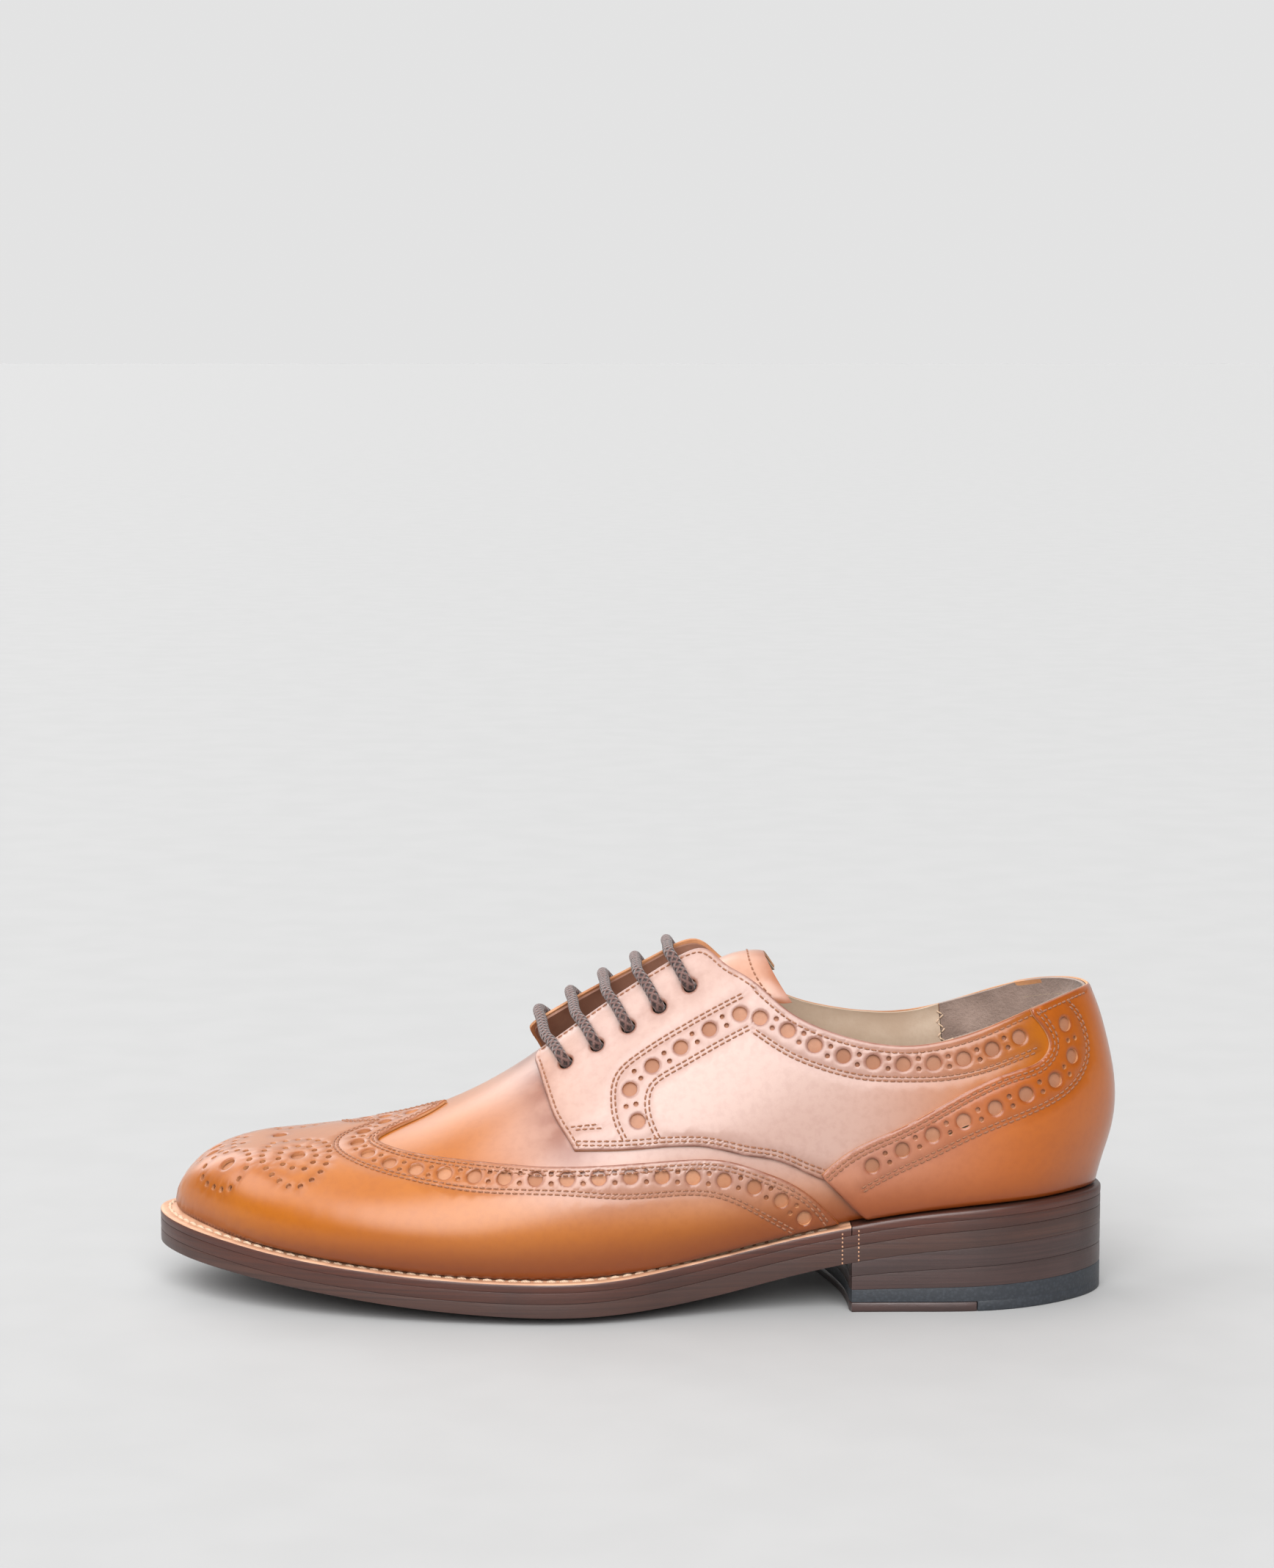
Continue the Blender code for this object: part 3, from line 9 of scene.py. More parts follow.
import bmesh
import bpy
import numpy as np
from mathutils.geometry import delaunay_2d_cdt
from mathutils.kdtree import KDTree
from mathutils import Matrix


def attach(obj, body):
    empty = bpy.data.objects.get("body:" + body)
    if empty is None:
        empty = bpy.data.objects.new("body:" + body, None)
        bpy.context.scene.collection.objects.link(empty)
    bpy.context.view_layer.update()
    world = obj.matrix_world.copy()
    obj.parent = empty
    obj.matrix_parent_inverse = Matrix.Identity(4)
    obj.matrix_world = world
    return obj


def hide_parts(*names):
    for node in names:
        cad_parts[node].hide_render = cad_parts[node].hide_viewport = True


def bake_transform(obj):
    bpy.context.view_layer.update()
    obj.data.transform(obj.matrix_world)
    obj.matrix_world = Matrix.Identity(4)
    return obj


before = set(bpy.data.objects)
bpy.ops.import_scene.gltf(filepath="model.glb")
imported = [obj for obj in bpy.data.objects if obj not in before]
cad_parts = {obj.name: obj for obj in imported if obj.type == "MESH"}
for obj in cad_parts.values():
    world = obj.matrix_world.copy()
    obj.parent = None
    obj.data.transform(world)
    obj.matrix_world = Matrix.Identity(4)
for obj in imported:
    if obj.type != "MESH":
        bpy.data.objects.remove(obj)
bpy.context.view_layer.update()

MM = 0.001
ORIGIN = np.array([0.0, -1.6, 0.0])

# ---- the last, as in the CAD ---------------------------------------------------------------------------

TOE_X, HEEL_X = -145.0, 151.0
SOLE_TOE_X, SOLE_HEEL_X = -151.0, 146.3
FEATHER_Z = [(-145, 24.8), (-125, 21.6), (-94, 17.8), (-53, 14.2), (-28, 13.5), (0, 15.2), (28, 20.4),
             (60, 27.0), (97, 31.6), (151, 33.2)]
LATERAL_Y = [(-145, 5), (-140, -7.5), (-132, -17.5), (-120, -28.7), (-100, -38.5), (-75, -44.8), (-45, -48),
             (-28, -48.2), (-5, -46), (20, -41.5), (45, -37), (70, -33), (97, -31), (115, -29.2),
             (130, -24.8), (143, -15.2), (151, 0)]
MEDIAL_Y = [(-145, 5), (-140, 15.3), (-132, 23.5), (-120, 31.7), (-100, 39), (-75, 43), (-45, 41.8),
            (-28, 37.5), (-5, 30.8), (20, 26.7), (45, 26.9), (70, 29), (97, 30.5), (115, 29.2),
            (130, 24.8), (143, 15.2), (151, 0)]
RIDGE_Y = [(-145, 5), (-100, 5), (-50, 4.5), (0, 4), (30, 3), (60, 0.5), (90, 0), (151, 0)]
RIDGE_Z = [(-145, 25.4), (-140.5, 35.6), (-136, 39.4), (-127, 43.1), (-118, 44.8), (-108, 46),
           (-90, 48.7), (-71.4, 53), (-52.8, 60.5), (-34.3, 71.6), (-10, 90.5), (20, 113), (45, 128),
           (75, 138), (110, 144), (151, 146)]
BACK_X = [(20, 140), (33, 142), (42, 144.2), (50, 146.6), (60, 148), (70, 147.2), (80, 145), (90, 142),
          (97, 139), (115, 132), (146, 125)]
BACK_LEAN_FROM = 60.0
SECTIONS = {
    "toe": [(1, 0), (1.05, 0.12), (1.06, 0.38), (0.98, 0.68), (0.8, 0.9), (0.52, 1), (0.24, 1), (0, 1)],
    "ball": [(1, 0), (1.05, 0.08), (1.07, 0.24), (0.99, 0.47), (0.8, 0.7), (0.54, 0.89), (0.25, 1), (0, 1)],
    "instep": [(1, 0), (1.04, 0.07), (1.05, 0.2), (0.97, 0.42), (0.78, 0.65), (0.52, 0.86), (0.22, 1),
               (0, 1)],
    "rear": [(1, 0), (1.05, 0.05), (1.1, 0.16), (1.08, 0.32), (0.94, 0.52), (0.8, 0.75), (0.6, 1), (0, 1)],
}
SECTION_AT = [("toe", -145), ("toe", -118), ("ball", -50), ("instep", 15), ("rear", 75), ("rear", 151)]
SOLE_LATERAL_Y = [(-151, 4.5), (-146, -10.5), (-138, -20.5), (-125, -30.5), (-109, -38.5), (-94, -43.5),
                  (-73, -48.5), (-53, -51.5), (-35, -53), (-21, -52.8), (-5, -50), (11, -45), (28, -40.5),
                  (45, -37.5), (60, -36.5), (84, -36), (106, -35), (117, -32), (133, -22.5), (146.3, 0)]
SOLE_MEDIAL_Y = [(-151, 4.5), (-146, 19), (-138, 27.5), (-120, 38.5), (-100, 45.5), (-75, 49.5),
                 (-45, 48), (-28, 43), (-5, 35), (20, 30), (45, 30.5), (70, 33.5), (97, 35.5), (115, 33),
                 (133, 22.5), (146.3, 0)]
EDGE_Z = [(-151, 24.2), (-127, 21), (-109, 18.4), (-80, 15.4), (-53, 13.7), (-28, 13.1), (-5, 13.9),
          (11, 16), (28, 19.1), (45, 22.7), (62, 26.1), (84, 29.8), (106, 31.9), (146.3, 32.6)]
SOLE_LOW_Z = [(-151, 14), (-127, 11.4), (-94, 7.3), (-66, 4.4), (-40, 2.8), (-10, 2.7), (11, 4.4),
              (28, 7.2), (45, 11), (62, 14.7), (84, 18.2), (106, 20.2), (146.3, 20.8)]
WELT, MIDSOLE, GAP = 2.8, 3.1, 0.3
# Fine joints between the layers, so that their faces never lie on each other.
SOLE_SEAM, OUTSOLE_SEAM, LIFT_SEAM = 0.04, 0.06, 0.03
CROWN, CROWN_END_X, CROWN_EASE = 2.7, 55.0, 40.0
WELT_END_X = 66.0
# Sections of the welt and the rand, as (distance in from the edge, height over the edge).
SECTION_LIP = [(1.1, 0.12), (0.35, 0.02), (0.0, -0.35), (-0.06, -1.3), (-0.02, -2.3), (0.12, -2.78)]
WELT_SECTION = [(3.4, 0.02), (2.9, -0.22), (2.4, 0.0)] + SECTION_LIP
RAND_SECTION = [(3.4, 0.02), (2.9, 0.0), (2.4, 0.06)] + SECTION_LIP
LIP_RINGS, STITCH_LINE, WELT_TUCK = 6, 2.9, 3.0
WHEEL_MARKS = (63.0, 68.0)
BREAST = [(65.3, -40), (64.4, -18), (61, 0), (55.5, 18), (47, 36)]
# The top piece is thicker at the back; its slope starts at this station.
TOP_PIECE_X, TOP_PIECE_FRONT, TOP_PIECE_BACK = 65.0, 7.0, 8.6
INSERT_LENGTH, INSERT_THICK, TREAD_ROUNDING = 39.5, 3.0, 0.25
# Shares of the way down a plate's edge at which its wall has a ring.
PLATE_WALL = (0.08, 0.5, 0.92)

# Leather layers: distances from the last's skin of the flesh side and the grain side.
VAMP_LAYER = (-1.1, 0.0)
LINING_LAYER = (-2.8, -1.9)
BACKING_LAYER = (0.02, 0.1)
OVER_LAYER = (0.12, 1.25)
COUNTER_BACKING = (1.27, 1.33)
COUNTER_LAYER = (1.35, 2.45)
FACING_LINING_LAYER = (-0.85, 0.05)
COUNTER_SEAT = 1.15
# The lining comes out to the quarter over a depth below the topline, behind a station, and further under
# the counter. Each is (where from, over how far).
LINING_OUT_DEPTH, LINING_OUT, LINING_SEAT = 11.0, (20, 14), (124, 8)

# Pattern lines as (station, girth fraction), the same for both sides.
WING_EDGE = [(-60, 0), (-65, 0.08), (-72, 0.14), (-78, 0.21), (-80.5, 0.26), (-77, 0.36), (-67, 0.455),
             (-50, 0.54), (-29, 0.62), (-8, 0.67), (12, 0.71), (26, 0.75), (38, 0.81), (49, 0.875),
             (57, 0.945), (62, 1)]
WING_HOLES = [(-71, 0), (-78, 0.05), (-84, 0.13), (-87, 0.26), (-84, 0.4), (-75, 0.505), (-56, 0.59),
              (-36, 0.645), (-16, 0.69), (3, 0.73), (23, 0.79), (33, 0.83), (43, 0.89), (51, 0.96)]
WING_LOW = [(-81, 0), (-85, 0.06), (-89.5, 0.12), (-93, 0.24), (-92, 0.36), (-85, 0.48), (-70, 0.58),
            (-55, 0.64), (-36, 0.685), (-20, 0.72), (-5, 0.76), (11, 0.79), (22, 0.82), (30, 0.86),
            (36, 0.9), (43, 0.95), (48, 0.985)]
VAMP_FRONT = [(-70, 0), (-76, 0.08), (-84, 0.16), (-89, 0.26), (-86, 0.38), (-74, 0.5), (-54, 0.6),
              (-30, 0.685), (-8, 0.735), (12, 0.775), (24, 0.815), (34, 0.87), (44, 0.94), (51, 1)]
VAMP_REAR = [(-27.8, 0), (-28.4, 0.16), (-28, 0.29), (-25.6, 0.38), (-21.5, 0.46), (-12, 0.53), (0, 0.57),
             (16, 0.61), (32, 0.66), (48, 0.73), (62, 0.84), (72, 1)]
FACING_FRONT = [(-19, 0.595), (-21.5, 0.54), (-25, 0.46), (-27, 0.38), (-29, 0.27), (-30.3, 0.18)]
FACING_CORNER = [(-30.3, 0.18), (-29.6, 0.14), (-26, 0.13)]
FACING_EDGE = [(-26, 0.13), (14, 0.13)]
FACING_TOP = [(14, 0.13), (21, 0.15), (28, 0.235), (32, 0.275), (37.5, 0.33)]
FACING_SPLIT = [(37, 0.325), (22, 0.365), (7.5, 0.415), (-8, 0.475), (-22.5, 0.52)]
QUARTER_LOW = [(-19, 0.595), (-5, 0.635), (11, 0.67), (22, 0.705), (34, 0.76), (42, 0.79), (51, 0.84),
               (62, 0.89), (80, 0.86), (102, 0.79), (121, 0.75), (134, 0.715), (140, 0.65), (141, 0.58),
               (139, 0.505)]
QUARTER_LOW_SEEN = 6
TOPLINE = [(37.5, 0.33), (47, 0.43), (62, 0.52), (78, 0.572), (95, 0.582), (113, 0.56), (134, 0.51),
           (151, 0.45)]
TOPLINE_HOLES = [(35, 0.4), (39, 0.425), (47, 0.48), (55, 0.535), (63, 0.575), (72, 0.605), (81, 0.622),
                 (90, 0.63), (99, 0.632), (109, 0.622), (119, 0.6), (126, 0.585)]
TOPLINE_LOW = [(36, 0.44), (46, 0.525), (58, 0.592), (70, 0.635), (82, 0.655), (94, 0.665), (107, 0.66),
               (120, 0.638), (128, 0.62)]
FACING_BAND = [(1, 0.58), (-2, 0.5), (-1, 0.44), (6, 0.42), (15, 0.4), (24, 0.388), (33, 0.385)]
FACING_BAND_FRONT = [(-3, 0.61), (-5.5, 0.55), (-6.5, 0.48), (-5, 0.41), (1, 0.38), (11, 0.36),
                     (22, 0.35), (33, 0.345)]
FACING_BAND_REAR = [(6, 0.64), (3.5, 0.58), (2.5, 0.52), (4, 0.475), (9, 0.455), (16, 0.445), (24, 0.435),
                    (35, 0.425)]
BAR_TACKS = [[(-20.5, 0.515), (-10.5, 0.54)], [(-19, 0.53), (-10.5, 0.553)]]
COUNTER_UP = [(56, 0.855), (63, 0.82), (79, 0.78), (102, 0.71), (120, 0.67), (129, 0.645), (132, 0.61),
              (131, 0.57), (129, 0.54)]
COUNTER_TOP = [(129, 0.526), (140, 0.492), (151, 0.45)]
COUNTER_FRONT = [(56, 0.86), (63, 0.93), (70.5, 1)]
COUNTER_HOLES = [(70, 0.862), (80, 0.833), (90, 0.805), (100, 0.78), (110, 0.757), (119, 0.735),
                 (128, 0.71), (136, 0.675), (139, 0.615), (138, 0.55)]
COUNTER_LOW = [(68, 0.91), (78, 0.88), (90, 0.85), (102, 0.815), (114, 0.785), (126, 0.755), (134, 0.725),
               (140, 0.68), (143, 0.63), (143.5, 0.58), (142.5, 0.53), (141, 0.51)]
LINING_BACK = [(-40, 0), (-40, 0.25), (-35, 0.42), (-22, 0.54), (-8, 0.6)]
LINING_JOIN = [(-8, 0.6), (4, 0.628), (14, 0.69), (21, 0.8), (25, 1)]
HEEL_GRIP_X, LINING_GAP = 100.0, 0.3

# The toe's medallion: rings of small holes as (station, girth fraction) and the large holes they circle.
SCROLLS = [[(-122, 0.32), (-120, 0.47), (-122, 0.6), (-127, 0.69), (-132, 0.65), (-135, 0.55),
            (-134.5, 0.42), (-131, 0.31), (-126, 0.28)],
           [(-114, 0.2), (-116, 0.34), (-115.5, 0.5), (-111, 0.61), (-105, 0.66), (-99, 0.6),
            (-95.5, 0.48), (-95.5, 0.34), (-99, 0.23), (-106, 0.17)],
           [(-109.5, 0.31), (-111, 0.42), (-108, 0.52), (-103, 0.54), (-99.5, 0.46), (-100, 0.36),
            (-104, 0.29)],
           [(-124, 0.1), (-129, 0.2), (-135, 0.22), (-138, 0.14), (-136.5, 0.05), (-131, 0.03)]]
MEDALLION_HOLES = [(-127, 0.48), (-105, 0.41), (-113, 0), (-133.5, 0.13)]

# The wing's underlay: how far inside the wing's edge, between these girth fractions, and its ends' stations.
UNDERLAY_INSET, UNDERLAY_V, UNDERLAY_X = 3.0, (-0.98, -0.01), (-63.5, 58)
TOE_END = [[TOE_X, 0]]
SHADE_RIDGE = [[-34, 0]]
QUARTER_TOP_END = [(133, 0.513), (139, 0.495)]
# The quarter's lining at its fold, and its gap in (x, v) behind the vamp's lining.
LINING_FOLD, JOIN_GAP = [(8, 0.52), (22, 0.42), (37.5, 0.335)], (1.2, 0.012)
# The last stretch of the wing's rows, and rows that follow no other line.
WING_SEAM_END, FACING_SEAM = (60, 0.985), [(-28.5, 0.13), (16, 0.13)]
COUNTER_SEAM = [(130, 0.524), (140, 0.492), (149, 0.458)]

# The folded strip under the quarter's holes, and the facing's lining, as lines that close a rim.
QUARTER_BACKING = [[(-4, 0.62), (-7, 0.5), (-3, 0.4), (20, 0.35), (34, 0.35)],
                   [(34, 0.35), (47, 0.45), (62, 0.54), (95, 0.6), (126, 0.55)], [(126, 0.55), (126, 0.64)],
                   [(126, 0.64), (94, 0.68), (58, 0.61), (38, 0.5)],
                   [(38, 0.5), (16, 0.47), (7, 0.5), (6, 0.6), (-4, 0.62)]]
FACING_LINING = [[(-18.6, 0.56), (-22, 0.5), (-26, 0.38), (-28.2, 0.27), (-29.4, 0.185)],
                 [(-29.4, 0.185), (-28.6, 0.145), (-25.5, 0.134)], [(-25.5, 0.134), (13.7, 0.134)],
                 [(13.7, 0.134), (20.6, 0.156), (27.6, 0.239), (31.8, 0.28), (38, 0.345)],
                 [(38, 0.345), (42, 0.44), (22, 0.47), (2, 0.53), (-18.6, 0.56)]]
COUNTER_STRIP = [[(66, 0.85), (90, 0.78), (119, 0.705), (131, 0.66), (134, 0.56)],
                 [(134, 0.56), (142, 0.55), (143, 0.63), (138, 0.705)],
                 [(138, 0.705), (119, 0.765), (90, 0.83), (68, 0.89), (66, 0.85)]]
# Where a bend across a facing's fold would start and end, as shares of the way to the laced edge; fold_blend
# reckons these but bends nothing.
FOLD_BLEND = (-0.12, 0.4)
# The fold's height over the skin, and the station where its width is taken.
FOLD_HEIGHT, FOLD_X = 1.6, -4.0

# Lacing.
EYELET_X = [-21.0, -11.5, -2.0, 7.5, 17.0]
EYELET_V = [0.275, 0.275, 0.268, 0.256, 0.24]
# A bar leaves its eyelets this far forward by the laced edges, through places at these shares of the way.
BAR_LEAN, BAR_CLEAR, BAR_SHARES, BAR_SAG = -4.2, 0.1, (0.36, 0.7, 1.0), (-0.4, 0, 0.9)
FACING_LIFT, LIFT_LIMIT, LIFT_CURVE = {-1: 2.2, 1: 8.6}, 1.3, 1.5
EYELET_HOLE_R, LINING_HOLE_R = 2.3, 3.4
UNDER_DEPTH = {-1: -4.6, 1: -5.4}
# Runs between neighbouring and further eyelets: how many places, and the share where they start.
UNDER_SHORT, UNDER_LONG = (3, 0.22), (5, 0.16)
LACE_R = 1.75
TAIL_CLEAR = 1.5
TAIL_DEPTH = {-1: -6.2, 1: -5.2}
TAIL_WALL = [(3, 0.37), (5, 0.46), (5, 0.57), (1, 0.69), (-8, 0.8)]
SOCK_TOP, SOCK_LOW, SOCK_INSET = 4.1, 3.3, 3.4
TAIL_FLOOR = {-1: [(-14, -34), (-34, -37.5), (-58, -37), (-82, -32), (-99, -24), (-104, -14), (-97, -7),
                   (-80, -7)],
              1: [(-8, 20), (-30, 27), (-54, 31), (-78, 31), (-93, 25), (-97, 16), (-88, 10), (-72, 9)]}
# How far over an eyelet the lace passes inside it, and a bar's first places as (over the eyelet, towards the
# edge).
LACE_DIPS = (-2.6, -5.0)
LACE_THROUGH = [(-5.0, 0), (-2.6, 0), (-0.2, 0), (1.2, 0.4), (1.9, 1.8)]

# The tongue.
TONGUE_LINE = [(-37, 67.5), (-28, 73.2), (-15, 80.0), (0, 89.3), (14, 97.8), (24, 103.4), (31, 106.2),
               (39.6, 107)]
TONGUE_Y = -1.8
TONGUE_R, TONGUE_LEAN, TONGUE_WIDEST_TURN = 17.5, 9.0, 1.43
TONGUE_HALVES = {-1: (22.0, 25.0), 1: (14.5, 17.0)}
TONGUE_THICK, TONGUE_LINING = 1.4, 0.8
# Its tip narrows from this share of its length, by about this share squared.
TONGUE_TIP, TONGUE_TIP_CUT = 0.85, 0.1
TONGUE_DROPS, TONGUE_BURN, TONGUE_BURN_FALL = (0.4, 0.08), 0.8, 0.25
# Its row of sewing: shares along it where the row starts and ends, and the share across it.
TONGUE_ROW, TONGUE_ROW_EDGE, TONGUE_ROW_BOW, TONGUE_ROW_POINTS = (0.35, 0.93), 0.9, 0.012, 40

# The lace's braid: crests along each millimetre of it, in radians, and strands round it.
BRAID_BY_LENGTH, BRAID_STRANDS, BRAID_RELIEF = 2.6, 4.0, 0.03

# Brogue work and sewing.
BIG_HOLE_R, SMALL_HOLE_R, SCROLL_HOLE_R = 2.3, 0.8, 0.95
BIG_PITCH, SCROLL_PITCH = 9.8, 3.9
PAIR_SPREAD = 1.55
STITCH_PITCH, STITCH_LENGTH, STITCH_R = 2.15, 1.75, 0.3
ROW_FIRST, ROW_SECOND, ROW_GAP = 1.5, 2.8, 1.25
FACING_ROW, TOPLINE_ROW, COUNTER_ROW = 1.6, 2.2, 2.0
# Other threads as (radius, pitch, length).
ZIGZAG_THREAD, WELT_THREAD, WHEEL_THREAD = (0.25, 2.2, 2.0), (0.62, 3.9, 3.3), (0.26, 1.3, 0.7)
THREAD_SUNK = 0.12
# Marks on a leather's face as (distance, drop, burnish): inside a rim and about a row of sewing.
RIM_MARKS = [(0.45, 0.1, 0.57), (1.1, 0.0, 0.31)]
ROW_MARKS = [(0, 0.28, 0.4), (-0.62, 0.05, 0.2), (0.62, 0.05, 0.2)]
# Marks about a hole, from its cut edge outwards, after its number of corners.
LARGE_HOLE = (16, [(0, 0.32, 0.7), (0.4, 0.08, 0.5), (1.0, 0, 0.22)])
SMALL_HOLE = (8, [(0, 0.12, 0.3), (0.3, 0, 0.25)])
LARGE_FROM_R = 1.0
EDGE_DROP, LINING_DROP, FACING_LINING_DROP, RIM_BURN = 0.42, 0.1, 0.15, 0.9
HOT_BURN, HOT_SHARE, HOT_REACH = 0.7, 0.3, 3.0
SHADE_BURN, SHADE_REACH = 0.85, 9.0
# Leather left between holes, and from a hole to a rim.
HOLE_GAP, HOLE_MARGIN = 0.7, 0.8

# Mesh sampling. The reach along the skin is measured on the line at this share of the lateral half.
REACH_LINE = 0.4
CELL, COARSE_CELL, RIM_STEP, ROW_STEP, HIDDEN_STEP, CORNER_STEP = 2.8, 5.0, 1.5, 1.3, 3.0, 0.8
MARK_CLEAR, HOLE_CLEAR, FILL_CLEAR, FILL_HOLE_CLEAR, REPEAT_GAP = 0.28, 0.2, 1.25, 0.6, 0.3
# A stitch's five rings as (share of its length, width and height in radii).
STITCH_RINGS = [(-0.5, 0.35, -0.9), (-0.38, 0.9, -0.1), (0, 1.0, 0.25), (0.38, 0.9, -0.1), (0.5, 0.35, -0.9)]
STITCH_CORNERS = 6
ZIGZAG_TURNS, ZIGZAG_REACH = 25, 1.4


# ---- curves and the last's skin ------------------------------------------------------------------------

def spline(knots, values, x):
    """Natural cubic spline through the knots, evaluated at x."""
    knots = np.asarray(knots, float)
    values = np.asarray(values, float)
    x = np.asarray(x, float)
    n = len(knots)
    h = np.diff(knots)
    system = np.eye(n)
    rhs = np.zeros(n)
    for i in range(1, n - 1):
        system[i, i - 1:i + 2] = h[i - 1], 2 * (h[i - 1] + h[i]), h[i]
        rhs[i] = 6 * ((values[i + 1] - values[i]) / h[i] - (values[i] - values[i - 1]) / h[i - 1])
    bend = np.linalg.solve(system, rhs)
    i = np.clip(np.searchsorted(knots, x) - 1, 0, n - 2)
    a = (knots[i + 1] - x) / h[i]
    b = (x - knots[i]) / h[i]
    cubic = (a ** 3 - a) * bend[i] + (b ** 3 - b) * bend[i + 1]
    return a * values[i] + b * values[i + 1] + cubic * h[i] ** 2 / 6


def station_angle(x, first=TOE_X, last=HEEL_X):
    """Maps stations to 0..pi so that outlines close with a round end."""
    return np.arccos(np.clip(1 - 2 * (np.asarray(x, float) - first) / (last - first), -1, 1))


def station_x(angle, first=TOE_X, last=HEEL_X):
    return first + (last - first) * (1 - np.cos(angle)) / 2


def along(rows, x, first=TOE_X, last=HEEL_X):
    """A table of (x, value) as a smooth function of the station."""
    rows = np.asarray(rows, float)
    return spline(station_angle(rows[:, 0], first, last), rows[:, 1], station_angle(x, first, last))


def smooth_step(t):
    t = np.clip(t, 0, 1)
    return t * t * t * (10 - 15 * t + 6 * t * t)


def table_at(rows, x):
    """A table of (x, value) read in straight steps."""
    return np.interp(x, *zip(*rows))


def lengths_along(points):
    """How far along a line of points each of them lies."""
    return np.concatenate([[0], np.cumsum(np.linalg.norm(np.diff(points, axis=0), axis=1))])


def read_at(places, lengths, line):
    """The points of a line at places along its lengths."""
    return np.stack([np.interp(places, lengths, column) for column in np.asarray(line).T], -1)


def unit(vectors):
    return vectors / np.maximum(np.linalg.norm(vectors, axis=-1, keepdims=True), 1e-12)


def bspline_basis(count, t):
    """Clamped uniform cubic B-spline basis, one row for each t."""
    knots = np.concatenate([np.zeros(3), np.linspace(0, 1, count - 2), np.ones(3)])
    basis = ((t[:, None] >= knots[None, :-1]) & (t[:, None] < knots[None, 1:])).astype(float)
    basis[t >= 1, count - 1] = 1
    for degree in range(1, 4):
        raised = np.zeros((len(t), basis.shape[1] - 1))
        for i in range(raised.shape[1]):
            left = knots[i + degree] - knots[i]
            right = knots[i + degree + 1] - knots[i + 1]
            if left > 0:
                raised[:, i] += (t - knots[i]) / left * basis[:, i]
            if right > 0:
                raised[:, i] += (knots[i + degree + 1] - t) / right * basis[:, i + 1]
        basis = raised
    return basis


def section_curves(x, t, side):
    """Points on the sections at stations x, from the feather edge (t = 0) to the ridge (t = 1)."""
    low = along(FEATHER_Z, x)
    centre = along(RIDGE_Y, x)
    high = along(RIDGE_Z, x)
    edge = along(LATERAL_Y if side < 0 else MEDIAL_Y, x)
    stations = [at for name, at in SECTION_AT]
    controls = np.array([SECTIONS[name] for name, at in SECTION_AT], float)
    angle = station_angle(x)
    blend = np.array([[np.interp(angle, station_angle(stations), controls[:, k, c]) for c in (0, 1)]
                      for k in range(controls.shape[1])])
    shares = np.einsum("tk,kcx->cxt", bspline_basis(controls.shape[1], t), blend)
    y = centre[:, None] + (edge - centre)[:, None] * shares[0]
    z = low[:, None] + (high - low)[:, None] * shares[1]
    back = np.array(BACK_X, float)
    lean = spline(back[:, 0], back[:, 1], np.clip(z, back[0, 0], back[-1, 0])) - HEEL_X
    share = smooth_step((x - BACK_LEAN_FROM) / (HEEL_X - BACK_LEAN_FROM))
    return np.stack([x[:, None] + share[:, None] * lean, y, z], -1)


class Skin:
    """The last's skin as a dense grid over (station angle, girth fraction)."""

    def __init__(self, stations=361, half=120):
        self.angles = np.linspace(0, math.pi, stations)
        self.half = half
        self.x = station_x(self.angles)
        self.points = np.zeros((stations, 2 * half + 1, 3))
        self.girth = np.zeros((2, stations))
        share = np.linspace(0, 1, half + 1)
        for k, side in enumerate((-1, 1)):
            for i, curve in enumerate(section_curves(self.x, np.linspace(0, 1, 480), side)):
                length = lengths_along(curve)
                self.girth[k, i] = length[-1]
                row = read_at(share, length / max(length[-1], 1e-9), curve)
                if side < 0:
                    self.points[i, :half + 1] = row
                else:
                    self.points[i, half:] = row[::-1]
        normals = np.cross(np.gradient(self.points, axis=0), np.gradient(self.points, axis=1))
        normals[0] = normals[1].mean(0)
        self.normals = unit(normals)
        self.reach = lengths_along(self.points[:, round(half * REACH_LINE)])

    def at(self, x, v, offset=0.0):
        """Points at stations x and girth fractions v, offset outwards and kept above the feather edge."""
        x = np.asarray(x, float)
        v = np.asarray(v, float)
        a = station_angle(x) / math.pi * (len(self.angles) - 1)
        b = (np.clip(v, -1, 1) + 1) * self.half
        i = np.clip(a.astype(int), 0, len(self.angles) - 2)
        j = np.clip(b.astype(int), 0, 2 * self.half - 1)
        p = (a - i)[..., None]
        q = (b - j)[..., None]

        def mix(grid):
            low = grid[i, j] * (1 - p) + grid[i + 1, j] * p
            high = grid[i, j + 1] * (1 - p) + grid[i + 1, j + 1] * p
            return low * (1 - q) + high * q

        point = mix(self.points) + np.asarray(offset, float)[..., None] * unit(mix(self.normals))
        floor = self.points[i, 0, 2] * (1 - p[..., 0]) + self.points[i + 1, 0, 2] * p[..., 0]
        point[..., 2] = np.maximum(point[..., 2], floor)
        return point

    def girth_at(self, x, v):
        lateral, medial = (np.interp(station_angle(x), self.angles, girth) for girth in self.girth)
        return np.where(np.asarray(v, float) < 0, lateral, medial)

    def reach_at(self, x):
        return np.interp(station_angle(x), self.angles, self.reach)

    def flat(self, x, v):
        """The skin laid flat about the ridge line."""
        return np.stack([self.reach_at(x), np.asarray(v, float) * self.girth_at(x, v)], -1)

    def flat_heel(self, x, v):
        """The skin of the heel laid flat about the back seam."""
        around = np.where(np.asarray(v) < 0, -1, 1) * (self.reach[-1] - self.reach_at(x))
        return np.stack([around, self.at(x, v)[..., 2]], -1)


SKIN = Skin()


